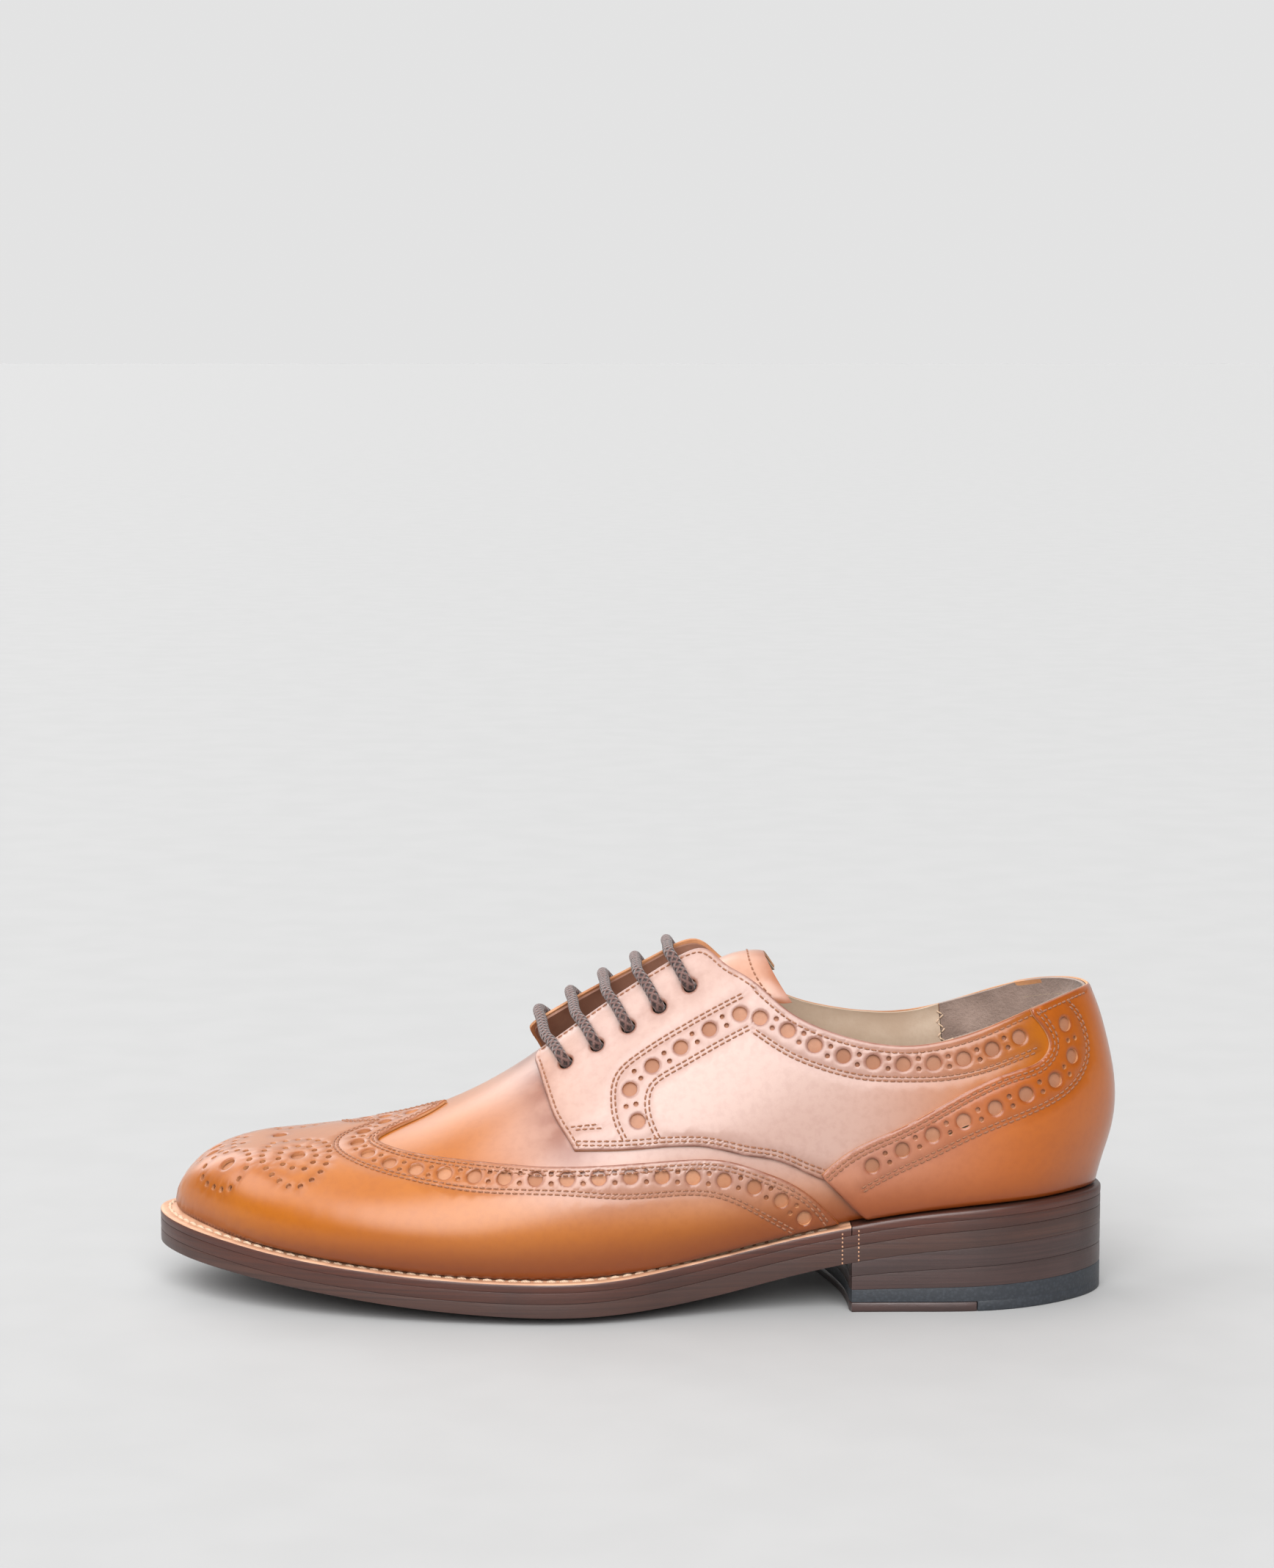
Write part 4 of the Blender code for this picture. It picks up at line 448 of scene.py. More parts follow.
def facing_lift(x, v):
    """How far the facings stand off the last, from their fold up to their laced edge."""
    fold = table_at(FACING_SPLIT[::-1], x)
    share = np.clip((fold - np.abs(v)) / (fold - FACING_EDGE[0][1]), 0, LIFT_LIMIT) ** LIFT_CURVE
    return share * np.where(np.asarray(v) < 0, FACING_LIFT[-1], FACING_LIFT[1])


def on_skin(x, v, offset=0.0):
    return SKIN.at(x, v, np.asarray(offset, float))


def on_facing(x, v, offset=0.0):
    return SKIN.at(x, v, offset + facing_lift(x, v))


def topline_depth(x, v):
    """How far below the topline a place lies, in millimetres along the girth."""
    return (np.abs(v) - table_at(TOPLINE, x)) * SKIN.girth_at(x, v)


def on_lining(x, v, offset=0.0):
    """The lining's layer, which comes out to meet the quarter's flesh side along the topline."""
    out, seat = (smooth_step((np.asarray(x, float) - start) / over)
                 for start, over in (LINING_OUT, LINING_SEAT))
    rise = OVER_LAYER[0] - 0.1 - LINING_LAYER[1] + COUNTER_SEAT * seat
    return SKIN.at(x, v, offset + smooth_step(1 - topline_depth(x, v) / LINING_OUT_DEPTH) * rise * out)


def frames(place, line):
    """For places (x, v) on a surface: points, unit normals and the step in (x, v) for a step in space."""
    dx, dv = 0.05, 0.0005
    x, v = line[:, 0], line[:, 1]
    by_x = (place(x + dx, v) - place(x - dx, v)) / (2 * dx)
    by_v = (place(x, v + dv) - place(x, v - dv)) / (2 * dv)
    return place(x, v), unit(np.cross(by_x, by_v)), np.linalg.pinv(np.stack([by_x, by_v], 2))


def headings(points):
    return unit(np.gradient(points, axis=0))


def place_of(place, hole):
    return place(np.array([hole[0]]), np.array([hole[1]]))[0]


def shift(place, line, distance, side=1):
    """A line of places moved sideways: on the +v side of its direction of travel, mirrored for side -1."""
    points, normal, inverse = frames(place, line)
    across = side * np.cross(normal, headings(points))
    return line + np.einsum("nij,nj->ni", inverse, across * distance)


def ring(centre, radius, first, second, corners):
    """Points round a centre in the plane of two unit directions."""
    turns = np.arange(corners)[:, None] * 2 * math.pi / corners
    return centre + radius * (np.cos(turns) * first + np.sin(turns) * second)


def disc(place, spot, radius, corners):
    """A circle on a surface, as places."""
    _, (normal,), (inverse,) = frames(place, np.array([spot]))
    first = unit(np.cross(normal, [0.3, 0.8, 0.5]))
    return np.asarray(spot) + ring(0, radius, first, np.cross(normal, first), corners) @ inverse.T


def run(points, side=1, step=RIM_STEP, place=on_skin, last=False):
    """A smooth line through (x, fraction) points in even steps, without its last point unless asked."""
    points = np.array(points, float) * [1, side]
    chord = lengths_along(points * [1, 100])
    dense = np.linspace(0, chord[-1], 400)
    line = np.stack([spline(chord, points[:, c], dense) for c in (0, 1)], -1)
    line[:, 1] = np.clip(line[:, 1], -1, 1)
    return resample(place, line, step, last)


def resample(place, line, step, last=False):
    length = lengths_along(place(*line.T))
    line = read_at(np.linspace(0, length[-1], max(1, round(length[-1] / step)) + 1), length, line)
    return line if last else line[:-1]


def feather_run(start, end, side, step=RIM_STEP):
    """Places along the feather edge from start up to, but without, end."""
    reach = SKIN.reach_at(np.array([start, end]))
    count = max(1, round(abs(reach[1] - reach[0]) / step))
    spots = np.linspace(reach[0], reach[1], count + 1)[:-1]
    x = np.interp(spots, SKIN.reach, SKIN.x)
    return np.stack([x, np.full(len(x), side * 1.0)], -1)


def mirrored(half):
    """Closes a half outline that starts and ends on the centre line."""
    return np.concatenate([half, (half[::-1] * [1, -1])[1:-1]])


def signed_area(loop):
    """Twice the area inside a closed plan loop, positive when it turns left."""
    after = np.roll(loop, -1, axis=0)
    return np.sum(loop[:, 0] * after[:, 1] - loop[:, 1] * after[:, 0])


def inside(points, loop, block=3000):
    """Which 2-D points lie inside a closed loop."""
    found = np.zeros(len(points), bool)
    a, b = loop, np.roll(loop, -1, axis=0)
    rise = np.where(np.abs(b[:, 1] - a[:, 1]) < 1e-12, 1e-12, b[:, 1] - a[:, 1])
    for start in range(0, len(points), block):
        x, y = points[start:start + block, 0][:, None], points[start:start + block, 1][:, None]
        crosses = (a[:, 1] > y) != (b[:, 1] > y)
        at = a[:, 0] + (y - a[:, 1]) * (b[:, 0] - a[:, 0]) / rise
        found[start:start + block] = ((x < at) & crosses).sum(1) % 2 == 1
    return found


def tree_of(points):
    tree = KDTree(len(points))
    for i, p in enumerate(points):
        tree.insert((*p, 0) if len(p) == 2 else p, i)
    tree.balance()
    return tree


def distances(points, targets):
    """From each point to the nearest target."""
    tree = tree_of(targets)
    return np.array([tree.find((*p, 0) if len(p) == 2 else p)[2] for p in points])


# ---- meshes --------------------------------------------------------------------------------------------

def make_piece(name, vertices, faces, looks, slots=None, sharp=55, attributes=None):
    """A mesh in metres from places in the last's frame."""
    mesh = bpy.data.meshes.new(name)
    mesh.from_pydata(((np.asarray(vertices) - ORIGIN) * MM).tolist(), [], [list(f) for f in faces])
    for look in [looks] if isinstance(looks, str) else looks:
        mesh.materials.append(LOOK[look])
    if slots is not None:
        mesh.polygons.foreach_set("material_index", np.asarray(slots, np.int32))
    for key, values in (attributes or {}).items():
        made = mesh.attributes.new(key, "FLOAT", "POINT")
        made.data.foreach_set("value", np.asarray(values, np.float32))
    mesh.shade_smooth()
    mesh.set_sharp_from_angle(angle=math.radians(sharp))
    piece = bpy.data.objects.new(name, mesh)
    bpy.context.scene.collection.objects.link(piece)
    return piece


def skin_filling(cell):
    """Places spread evenly over the skin."""
    places = []
    for i, reach in enumerate(np.arange(0, SKIN.reach[-1], cell)):
        x = float(np.interp(reach, SKIN.reach, SKIN.x))
        for side in (-1, 1):
            rows = max(2, round(float(SKIN.girth_at(x, side)) / cell))
            places += [(x, side * (j + 0.5 * (i % 2)) / rows) for j in range(0 if side < 0 else 1, rows)]
    return np.array(places)


FILLING = skin_filling(CELL)
COARSE_FILLING = skin_filling(COARSE_CELL)
HEEL_FILLING = FILLING[(FILLING[:, 0] < HEEL_X - 1e-6) | (FILLING[:, 1] < 0)]


def marked(places, drop, burn):
    """Places as rows of (x, v, drop, burnish)."""
    return np.column_stack([places, np.full(len(places), drop), np.full(len(places), burn)])


def clear_of(place, spots, holes, margin):
    """Which points stand more than a margin outside every hole."""
    clear = np.ones(len(spots), bool)
    for hole in holes:
        clear &= np.linalg.norm(spots - place_of(place, hole), axis=1) > hole[2] + margin
    return clear


def marks_of(place, rim, turn, holes, rows, edge_drop):
    """The cut loops of a sheet, and the marks on its face beside them and along its rows of sewing."""
    loops, marks = [marked(rim, edge_drop, RIM_BURN)], []
    for x, v, radius in holes:
        corners, steps = LARGE_HOLE if radius > LARGE_FROM_R else SMALL_HOLE
        cut, *rings = [marked(disc(place, (x, v), radius + out, corners), drop, burn)
                       for out, drop, burn in steps]
        loops.append(cut)
        marks += rings
    closed = np.concatenate([rim[-1:], rim, rim[:1]])
    marks += [marked(shift(place, closed, out * turn)[1:-1], drop, burn) for out, drop, burn in RIM_MARKS]
    marks += [marked(shift(place, row, out), drop, burn) for row in rows for out, drop, burn in ROW_MARKS]
    marks = np.concatenate(marks)
    marks[:, 1] = np.clip(marks[:, 1], -1, 1)
    return loops, marks


def fill_of(place, flat, filling, laid_rim, known, holes):
    """The filling's places in the open parts of a sheet, burnished near its dark places."""
    laid = flat(*filling.T)
    near = ((laid > laid_rim.min(0)) & (laid < laid_rim.max(0))).all(1)
    fill = filling[near][inside(laid[near], laid_rim)]
    spots, known_spots = place(*fill.T), place(*known[:, :2].T)
    clear = (distances(spots, known_spots) > FILL_CLEAR) & clear_of(place, spots, holes, FILL_HOLE_CLEAR)
    near = distances(spots[clear], known_spots[known[:, 3] > HOT_BURN])
    return marked(fill[clear], 0, HOT_SHARE * np.exp(-(near / HOT_REACH) ** 2))


def triangulated(plane, sizes, outline):
    """Triangles between laid-out points, inside the first loop and outside the others, and their points."""
    edges, owner, start = [], np.full(len(plane), -1), 0
    for k, count in enumerate(sizes):
        edges += [(start + i, start + (i + 1) % count) for i in range(count)]
        owner[start:start + count] = k
        start += count
    net = delaunay_2d_cdt([tuple(p) for p in plane], edges, [], 0, 1e-6)
    sources = np.array([s[0] for s in net[3]])
    triangles = np.array(net[2])
    owners = owner[sources][triangles]
    in_hole = (owners[:, 0] > 0) & (owners == owners[:, :1]).all(1)
    middles = np.array([tuple(c) for c in net[0]])[triangles].mean(1)
    used, triangles = np.unique(triangles[inside(middles, outline) & ~in_hole], return_inverse=True)
    return sources[used], triangles.reshape(-1, 3)


def leather(name, rim, layer, looks, place=on_skin, flat=None, holes=(), rows=(),
            filling=None, edge_drop=EDGE_DROP, shaded=None):
    """A sheet of leather cut along a rim, with round holes (x, v, radius) and sunk rows for its sewing.

    Its colour is burnished near its edges and holes, and near the shaded places if there are any.
    """
    flat = flat or SKIN.flat
    holes = spaced(place, holes, rim)
    laid_rim = flat(*rim.T)
    turn = np.sign(signed_area(laid_rim))
    loops, marks = marks_of(place, rim, turn, holes, rows, edge_drop)
    spots = place(*marks[:, :2].T)
    keep = inside(flat(*marks[:, :2].T), laid_rim) & clear_of(place, spots, holes, HOLE_CLEAR)
    keep &= distances(spots, place(*rim.T)) > MARK_CLEAR
    known = np.concatenate(loops + [marks[keep]])
    fill = fill_of(place, flat, FILLING if filling is None else filling, laid_rim, known, holes)
    every = np.concatenate([known, fill])
    index, triangles = triangulated(flat(*every[:, :2].T), [len(loop) for loop in loops], laid_rim)
    x, v, drop, burn = every[index].T
    top, bottom = place(x, v, layer[1] - drop), place(x, v, np.full(len(x), layer[0]))
    a, b, c = (top[triangles[:, k]] for k in range(3))
    if np.einsum("ij,ij->", np.cross(b - a, c - a), (top - bottom)[triangles[:, 0]]) < 0:
        triangles = triangles[:, ::-1]
    if shaded is not None:
        burn = np.maximum(burn, SHADE_BURN * np.exp(-(distances(top, place(*shaded.T)) / SHADE_REACH) ** 2))
    count, faces = len(index), triangles.tolist()
    halves = {(f[i], f[(i + 1) % 3]) for f in faces for i in range(3)}
    walls = [[b, a, a + count, b + count] for a, b in sorted(halves) if (b, a) not in halves]
    under = (triangles[:, ::-1] + count).tolist()
    piece = make_piece(name, np.concatenate([top, bottom]), faces + under + walls,
                       (looks, looks) if isinstance(looks, str) else looks,
                       [0] * len(faces) + [1] * (len(under) + len(walls)),
                       attributes={"burnish": np.concatenate([burn, burn])})
    return piece


def join(name, pieces):
    """Several meshes as one object."""
    bpy.ops.object.select_all(action="DESELECT")
    for piece in pieces:
        piece.select_set(True)
    bpy.context.view_layer.objects.active = pieces[0]
    bpy.ops.object.join()
    pieces[0].name = name
    return pieces[0]


def tube_faces(start, rings, corners):
    """The faces of a closed tube of rings whose points are numbered from start."""
    faces = []
    last = start + (rings - 1) * corners
    for a in range(start, last, corners):
        for i in range(corners):
            j = (i + 1) % corners
            faces.append([a + i, a + j, a + corners + j, a + corners + i])
    return faces + [list(range(start, start + corners))[::-1], list(range(last, last + corners))]


def thread(name, rows, look, radius=STITCH_R, pitch=STITCH_PITCH, length=STITCH_LENGTH):
    """Stitches along rows, each row given as points and normals; they dip into the leather at their ends."""
    vertices, faces = [], []
    shares, widths, heights = np.array(STITCH_RINGS).T
    for points, normals in rows:
        lengths = lengths_along(points)
        for at in np.arange(pitch * 0.6, lengths[-1] - pitch * 0.3, pitch):
            spine = read_at(at + shares * length, lengths, points)
            up = unit(read_at(at, lengths, normals))
            across = np.cross(up, unit(spine[-1] - spine[0]))
            faces += tube_faces(len(vertices), len(spine), STITCH_CORNERS)
            for spot, width, height in zip(spine, widths, heights):
                vertices += list(ring(spot + up * height * radius, radius * width, across, up,
                                      STITCH_CORNERS))
    return make_piece(name, vertices, faces, look, sharp=80)


def sewn(place, line, offset):
    """A row's points and normals at an offset from the skin."""
    points, normals, _ = frames(place, line)
    return points + normals * offset, normals


def brogue(place, line, side, first=0.5):
    """Large holes along a line, from first pitches in, with pairs of small ones between them."""
    dense = run(line, side, 0.5, place, last=True)
    length = lengths_along(place(*dense.T))
    span = length[-1] - first * BIG_PITCH * 2
    gaps = max(1, round(span / BIG_PITCH))
    centres = first * BIG_PITCH + span / gaps * np.arange(gaps + 1)
    holes = [(*spot, BIG_HOLE_R) for spot in read_at(centres, length, dense)]
    for spread in (-PAIR_SPREAD, PAIR_SPREAD):
        pairs = read_at((centres[:-1] + centres[1:]) / 2, length, shift(place, dense, spread))
        holes += [(*spot, SMALL_HOLE_R) for spot in pairs]
    return holes


def spaced(place, holes, rim):
    """The holes that leave leather between each other and the rim; the larger ones are kept first."""
    kept, centres = [], []
    edge = tree_of(place(*rim.T))
    for hole in sorted(holes, key=lambda h: -h[2]):
        spot = place_of(place, hole)
        if edge.find(spot)[2] < hole[2] + HOLE_MARGIN:
            continue
        if any(np.linalg.norm(spot - c) < hole[2] + other[2] + HOLE_GAP for c, other in zip(centres, kept)):
            continue
        kept.append(hole)
        centres.append(spot)
    return kept


def scroll(loop, side):
    """Small holes round a closed loop."""
    return [(x, v, SCROLL_HOLE_R) for x, v in run(loop + loop[:1], side, SCROLL_PITCH)]


# ---- materials -----------------------------------------------------------------------------------------

def srgb(code):
    """A six-digit hexadecimal sRGB colour as linear RGBA."""
    shares = [int(code[i:i + 2], 16) / 255 for i in (0, 2, 4)]
    return tuple(s / 12.92 if s <= 0.04045 else ((s + 0.055) / 1.055) ** 2.4 for s in shares) + (1,)


SHADER_SOCKETS = {"color": "Base Color", "rough": "Roughness", "normal": "Normal", "metal": "Metallic",
                  "specular": "Specular IOR Level", "coat": "Coat Weight", "coat_rough": "Coat Roughness",
                  "sheen": "Sheen Weight", "sheen_rough": "Sheen Roughness"}


class Nodes:
    """Builds the node tree of a material or a world. A text value is a colour, as srgb takes it."""

    def __init__(self, owner):
        owner.use_nodes = True
        self.owner, self.tree = owner, owner.node_tree

    def add(self, kind, inputs=None, **settings):
        node = self.tree.nodes.new("ShaderNode" + kind)
        for key, value in settings.items():
            setattr(node, key, value)
        for key, value in (inputs or {}).items():
            self.set(node.inputs[key], value)
        return node

    def set(self, socket, value):
        if isinstance(value, bpy.types.NodeSocket):
            self.tree.links.new(value, socket)
        else:
            socket.default_value = srgb(value) if isinstance(value, str) else value

    def place(self, stretch=None):
        """The place on the object, in metres, or stretched by a factor for each axis."""
        place = self.add("TexCoord").outputs["Object"]
        if stretch:
            place = self.add("Mapping", {"Vector": place, "Scale": stretch}).outputs["Vector"]
        return place

    def axis(self, number):
        return self.add("SeparateXYZ", {"Vector": self.place()}).outputs[number]

    def noise(self, scale, detail=3, rough=0.5, place=None):
        return self.add("TexNoise", {"Scale": scale, "Detail": detail, "Roughness": rough,
                                     "Vector": place or self.place()}).outputs["Fac"]

    def cells(self, scale, **settings):
        node = self.add("TexVoronoi", {"Scale": scale, "Vector": self.place()}, **settings)
        return node.outputs["Distance"]

    def ramp(self, value, low, high, first=0.0, last=1.0):
        return self.add("MapRange", {"Value": value, "From Min": low, "From Max": high, "To Min": first,
                                     "To Max": last}, interpolation_type="SMOOTHSTEP").outputs["Result"]

    def mix(self, share, a, b):
        node = self.add("Mix", data_type="RGBA")
        for number, value in ((0, share), (6, a), (7, b)):
            self.set(node.inputs[number], value)
        return node.outputs[2]

    def tint(self, colour, other, value, low, high, amount=1.0):
        """Another colour over this one where a value is high, up to an amount."""
        return self.mix(self.math("MULTIPLY", self.ramp(value, low, high), amount), colour, other)

    def math(self, kind, a, b=0.0):
        return self.add("Math", {0: a, 1: b}, operation=kind).outputs[0]

    def attribute(self, name):
        return self.add("Attribute", attribute_name=name).outputs["Fac"]

    def bump(self, height, strength, distance, before=None):
        node = self.add("Bump", {"Height": height, "Strength": strength, "Distance": distance})
        if before:
            self.set(node.inputs["Normal"], before)
        return node.outputs["Normal"]

    def finish(self, **values):
        for key, value in values.items():
            self.set(self.tree.nodes["Principled BSDF"].inputs[SHADER_SOCKETS[key]], value)
        return self.owner


def material(name):
    return Nodes(bpy.data.materials.new(name))


def calf(name, base, deep, light, pale, rough=0.3, low_shade=1.0):
    """Polished calf: hand-dyed and darker at edges and holes, with a pale pinkish painted highlight on the
    quarters and a band of painted shade by the welt.
    """
    n = material(name)
    cloud, fine = n.noise(30, 3, 0.5), n.noise(420, 3, 0.6)
    colour = n.tint(base, light, cloud, 0.3, 0.72)
    # Painted highlight: a pale pinkish colour over the quarters, where the front panel's reflection lies,
    # laid on by the share pale.
    side = n.math("MULTIPLY", n.ramp(n.axis(0), -0.06, -0.01), n.ramp(n.axis(0), 0.125, 0.055))
    painted_highlight = n.math("MULTIPLY", side, n.ramp(n.axis(2), 0.026, 0.052))
    colour = n.mix(n.math("MULTIPLY", painted_highlight, pale), colour, PAINTED_HIGHLIGHT_COLOUR)
    colour = n.tint(colour, deep, fine, 0.4, 0.7, 0.1)
    burnish = n.math("MULTIPLY", n.attribute("burnish"), n.ramp(n.noise(160, 2), 0.25, 0.6, 0.6, 0.9))
    colour = n.mix(burnish, colour, deep)
    # Painted shade: a dark band by the sole, where the upper turns under to the welt. The heel sits higher
    # than the forepart, so this band does too.
    heel_rise = n.math("MULTIPLY", n.ramp(n.axis(0), -0.02, 0.09), 0.014)
    low = n.ramp(n.math("SUBTRACT", n.axis(2), heel_rise), 0.017, 0.032, low_shade, 0.0)
    colour = n.mix(n.math("MULTIPLY", low, 0.75), colour, deep)
    grain = n.bump(n.cells(1500, feature="DISTANCE_TO_EDGE"), 0.07, 0.0002)
    normal = n.bump(n.noise(240, 3, 0.5), 0.05, 0.0005, grain)
    roughness = n.math("ADD", n.math("MULTIPLY", cloud, 0.06), rough - 0.03)
    roughness = n.math("ADD", roughness, n.math("MULTIPLY", fine, 0.05))
    return n.finish(color=colour, rough=roughness, normal=normal, specular=0.3, coat=0.72, coat_rough=0.3)


def plain_leather(name, base, dark, rough=0.7, bump=0.25):
    """Undyed or lining leather with fibre."""
    n = material(name)
    cloud, fibre = n.noise(45, 4), n.noise(700, 3, 0.65)
    colour = n.tint(n.tint(base, dark, cloud, 0.3, 0.7), dark, fibre, 0.35, 0.7, 0.35)
    roughness = n.ramp(cloud, 0.3, 0.7, rough - 0.08, rough + 0.08)
    return n.finish(color=colour, rough=roughness, normal=n.bump(fibre, bump, 0.0005), coat=0.05,
                    coat_rough=0.5)


def suede(name, base, dark):
    n = material(name)
    nap = n.noise(900, 5, 0.7)
    colour = n.mix(n.math("MULTIPLY", nap, 0.5), n.tint(base, dark, n.noise(55, 3), 0.3, 0.7), dark)
    return n.finish(color=colour, rough=0.95, normal=n.bump(nap, 0.7, 0.0008), sheen=0.35, sheen_rough=0.4)


def thread_look(name, base, dark):
    n = material(name)
    twist = n.add("TexWave", {"Scale": 900, "Distortion": 2.0, "Vector": n.place()}, wave_type="BANDS",
                  bands_direction="DIAGONAL").outputs["Fac"]
    return n.finish(color=n.mix(n.math("MULTIPLY", twist, 0.5), base, dark), rough=0.62,
                    normal=n.bump(twist, 0.4, 0.0002), sheen=0.15)


def braid_look(name, base, dark, light):
    """Round braided cotton: crossing strands from the tube's own length and turn."""
    n = material(name)
    run_phase = n.math("MULTIPLY", n.attribute("run"), BRAID_BY_LENGTH)
    waves = [n.math("SINE", n.math("ADD", run_phase, n.math("MULTIPLY", n.attribute("turn"), strands)))
             for strands in (BRAID_STRANDS, -BRAID_STRANDS)]
    weave = n.math("MAXIMUM", *waves)
    fuzz = n.noise(1600, 3, 0.6)
    colour = n.tint(n.tint(dark, base, weave, -0.2, 1.0), light, fuzz, 0.45, 0.75, 0.4)
    height = n.math("ADD", weave, n.math("MULTIPLY", fuzz, 0.5))
    return n.finish(color=colour, rough=0.72, normal=n.bump(height, 0.6, 0.0004), sheen=0.3, sheen_rough=0.4)


def sole_edge(name, base, dark, shine=0.35):
    """A burnished sole edge: waxed, with the faint lines of its layers of leather."""
    n = material(name)
    lines, cloud = n.noise(1.0, 3, 0.6, n.place((18, 18, 1300))), n.noise(60, 4)
    colour = n.tint(n.tint(base, dark, lines, 0.3, 0.7, 0.7), dark, cloud, 0.4, 0.75, 0.5)
    height = n.math("ADD", n.math("MULTIPLY", lines, 0.5), n.math("MULTIPLY", n.noise(800, 3), 0.4))
    roughness = n.ramp(cloud, 0.3, 0.7, shine, shine + 0.16)
    return n.finish(color=colour, rough=roughness, normal=n.bump(height, 0.35, 0.0004), coat=0.2,
                    coat_rough=0.3)


def metal(name, colour, rough):
    n = material(name)
    scratch = n.noise(600, 4)
    return n.finish(color=n.tint(colour, "5a4224", scratch, 0.35, 0.7), metal=1.0,
                    rough=n.ramp(scratch, 0.3, 0.7, rough, rough + 0.15), normal=n.bump(scratch, 0.1, 0.0002))


def speckled(name, base, dark, scale, rough=0.85, bump=0.4):
    """Rubber, cork, board: grains of two colours."""
    n = material(name)
    return n.finish(color=n.tint(base, dark, n.cells(scale), 0.1, 0.7, 0.6), rough=rough,
                    normal=n.bump(n.noise(scale * 1.5, 3), bump, 0.0003))


# The pale pinkish colour of the painted highlight on the quarters.
PAINTED_HIGHLIGHT_COLOUR = "b89a90"

LOOK = {
    # The pale share sets each calf's painted highlight on the quarters, and low_shade its band of painted
    # shade by the sole.
    "tan": calf("tan calf", "a35808", "722e04", "ac610b", 0.9),
    "counter": calf("counter calf", "a85408", "722c04", "ae5a0b", 0.5, 0.33, 0.8),
    "tongue": calf("tongue calf", "be6e24", "8e4612", "c4762e", 0.6, 0.34, 0.0),
    "edge": plain_leather("cut edge", "d49e72", "a86e46", 0.6),
    "backing": plain_leather("underlay", "ac785a", "946246", 0.6, bump=0.1),
    "pale backing": plain_leather("pale underlay", "b6805c", "9e6848", 0.6, bump=0.1),
    "lining": plain_leather("lining leather", "bca894", "a8907a", 0.6, bump=0.15),
    # The facings' lining is lining leather, but darker brown: painted shade, as it lies in shadow behind the
    # lacing.
    "facing lining": plain_leather("facing lining", "9c705a", "7c5442", 0.65, bump=0.15),
    "suede": suede("heel suede", "aa9488", "7e6a60"),
    "thread": thread_look("waxed thread", "9e6848", "683c26"),
    "pale thread": thread_look("welt thread", "d6ba9e", "a07c62"),
    "lace": braid_look("braided cotton", "684a44", "261715", "967a72"),
    "welt": sole_edge("welt edge", "542c20", "3a201a", 0.36),
    "welt top": sole_edge("welt top", "cea080", "a07054", 0.5),
    "midsole": sole_edge("midsole edge", "4c2a20", "341f1a"),
    "outsole": sole_edge("outsole edge", "4a3028", "34221e"),
    "lift": sole_edge("heel lift edge", "46322f", "322422"),
    "rubber": speckled("rubber", "363a40", "26292e", 900, 0.5, 0.3),
    "insole": plain_leather("insole leather", "c49e78", "a07854"),
    "cork": speckled("cork", "a87e54", "664226", 420),
    "board": speckled("fibreboard", "b0a088", "8c7a62", 700),
    "steel": metal("spring steel", "bebec3", 0.3),
    "brass": metal("brass", "b28a4a", 0.3),
    "plastic": sole_edge("lace tip", "462e28", "2c1a16", 0.3),
}


# ---- the upper -----------------------------------------------------------------------------------------

def double_row(place, line, side, first=ROW_FIRST, second=ROW_SECOND):
    """The two rows of sewing inside a cut edge; negative distances lie on its other side."""
    dense = run(line, side, ROW_STEP, place, last=True)
    return [np.clip(shift(place, dense, d, side), [TOE_X, -1], [HEEL_X, 1]) for d in (first, second)]


def runs(lines, side, place=on_skin):
    """Several lines end to end, as one run of places."""
    return np.concatenate([run(line, side, place=place) for line in lines])


def sewing_of(name, place, rows, face):
    """Thread along rows, sunk a little into a leather's face."""
    return thread(name, [sewn(place, row, face - THREAD_SUNK) for row in rows], "thread")


def build_wing():
    rows, holes = [], []
    for side in (-1, 1):
        rows += double_row(on_skin, WING_EDGE[:-1] + [WING_SEAM_END], side)
        rows += double_row(on_skin, WING_LOW, side, 0, ROW_GAP)
        holes += brogue(on_skin, WING_HOLES, side, first=0.0)
        for loop in SCROLLS:
            holes += scroll(loop, side)
        holes += [(x, side * v, BIG_HOLE_R) for x, v in MEDALLION_HOLES if v or side < 0]
    wing = np.concatenate([run(WING_EDGE, -1), feather_run(WING_EDGE[-1][0], TOE_X, -1), TOE_END])
    piece = leather("wing_cap_leather", mirrored(wing), OVER_LAYER, ("tan", "edge"), holes=holes, rows=rows)
    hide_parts("wing_cap")
    inset = shift(on_skin, run(WING_EDGE, -1), UNDERLAY_INSET, -1)
    inset = inset[(inset[:, 1] > UNDERLAY_V[0]) & (inset[:, 1] < UNDERLAY_V[1])]
    under = np.concatenate([[[UNDERLAY_X[0], 0]], inset, feather_run(UNDERLAY_X[1], TOE_X, -1, 4.0), TOE_END])
    backing = leather("wing_backing", mirrored(under), BACKING_LAYER, "pale backing",
                      filling=COARSE_FILLING, edge_drop=0)
    for made in (piece, backing, sewing_of("wing_thread", on_skin, rows, OVER_LAYER[1])):
        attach(made, "root")


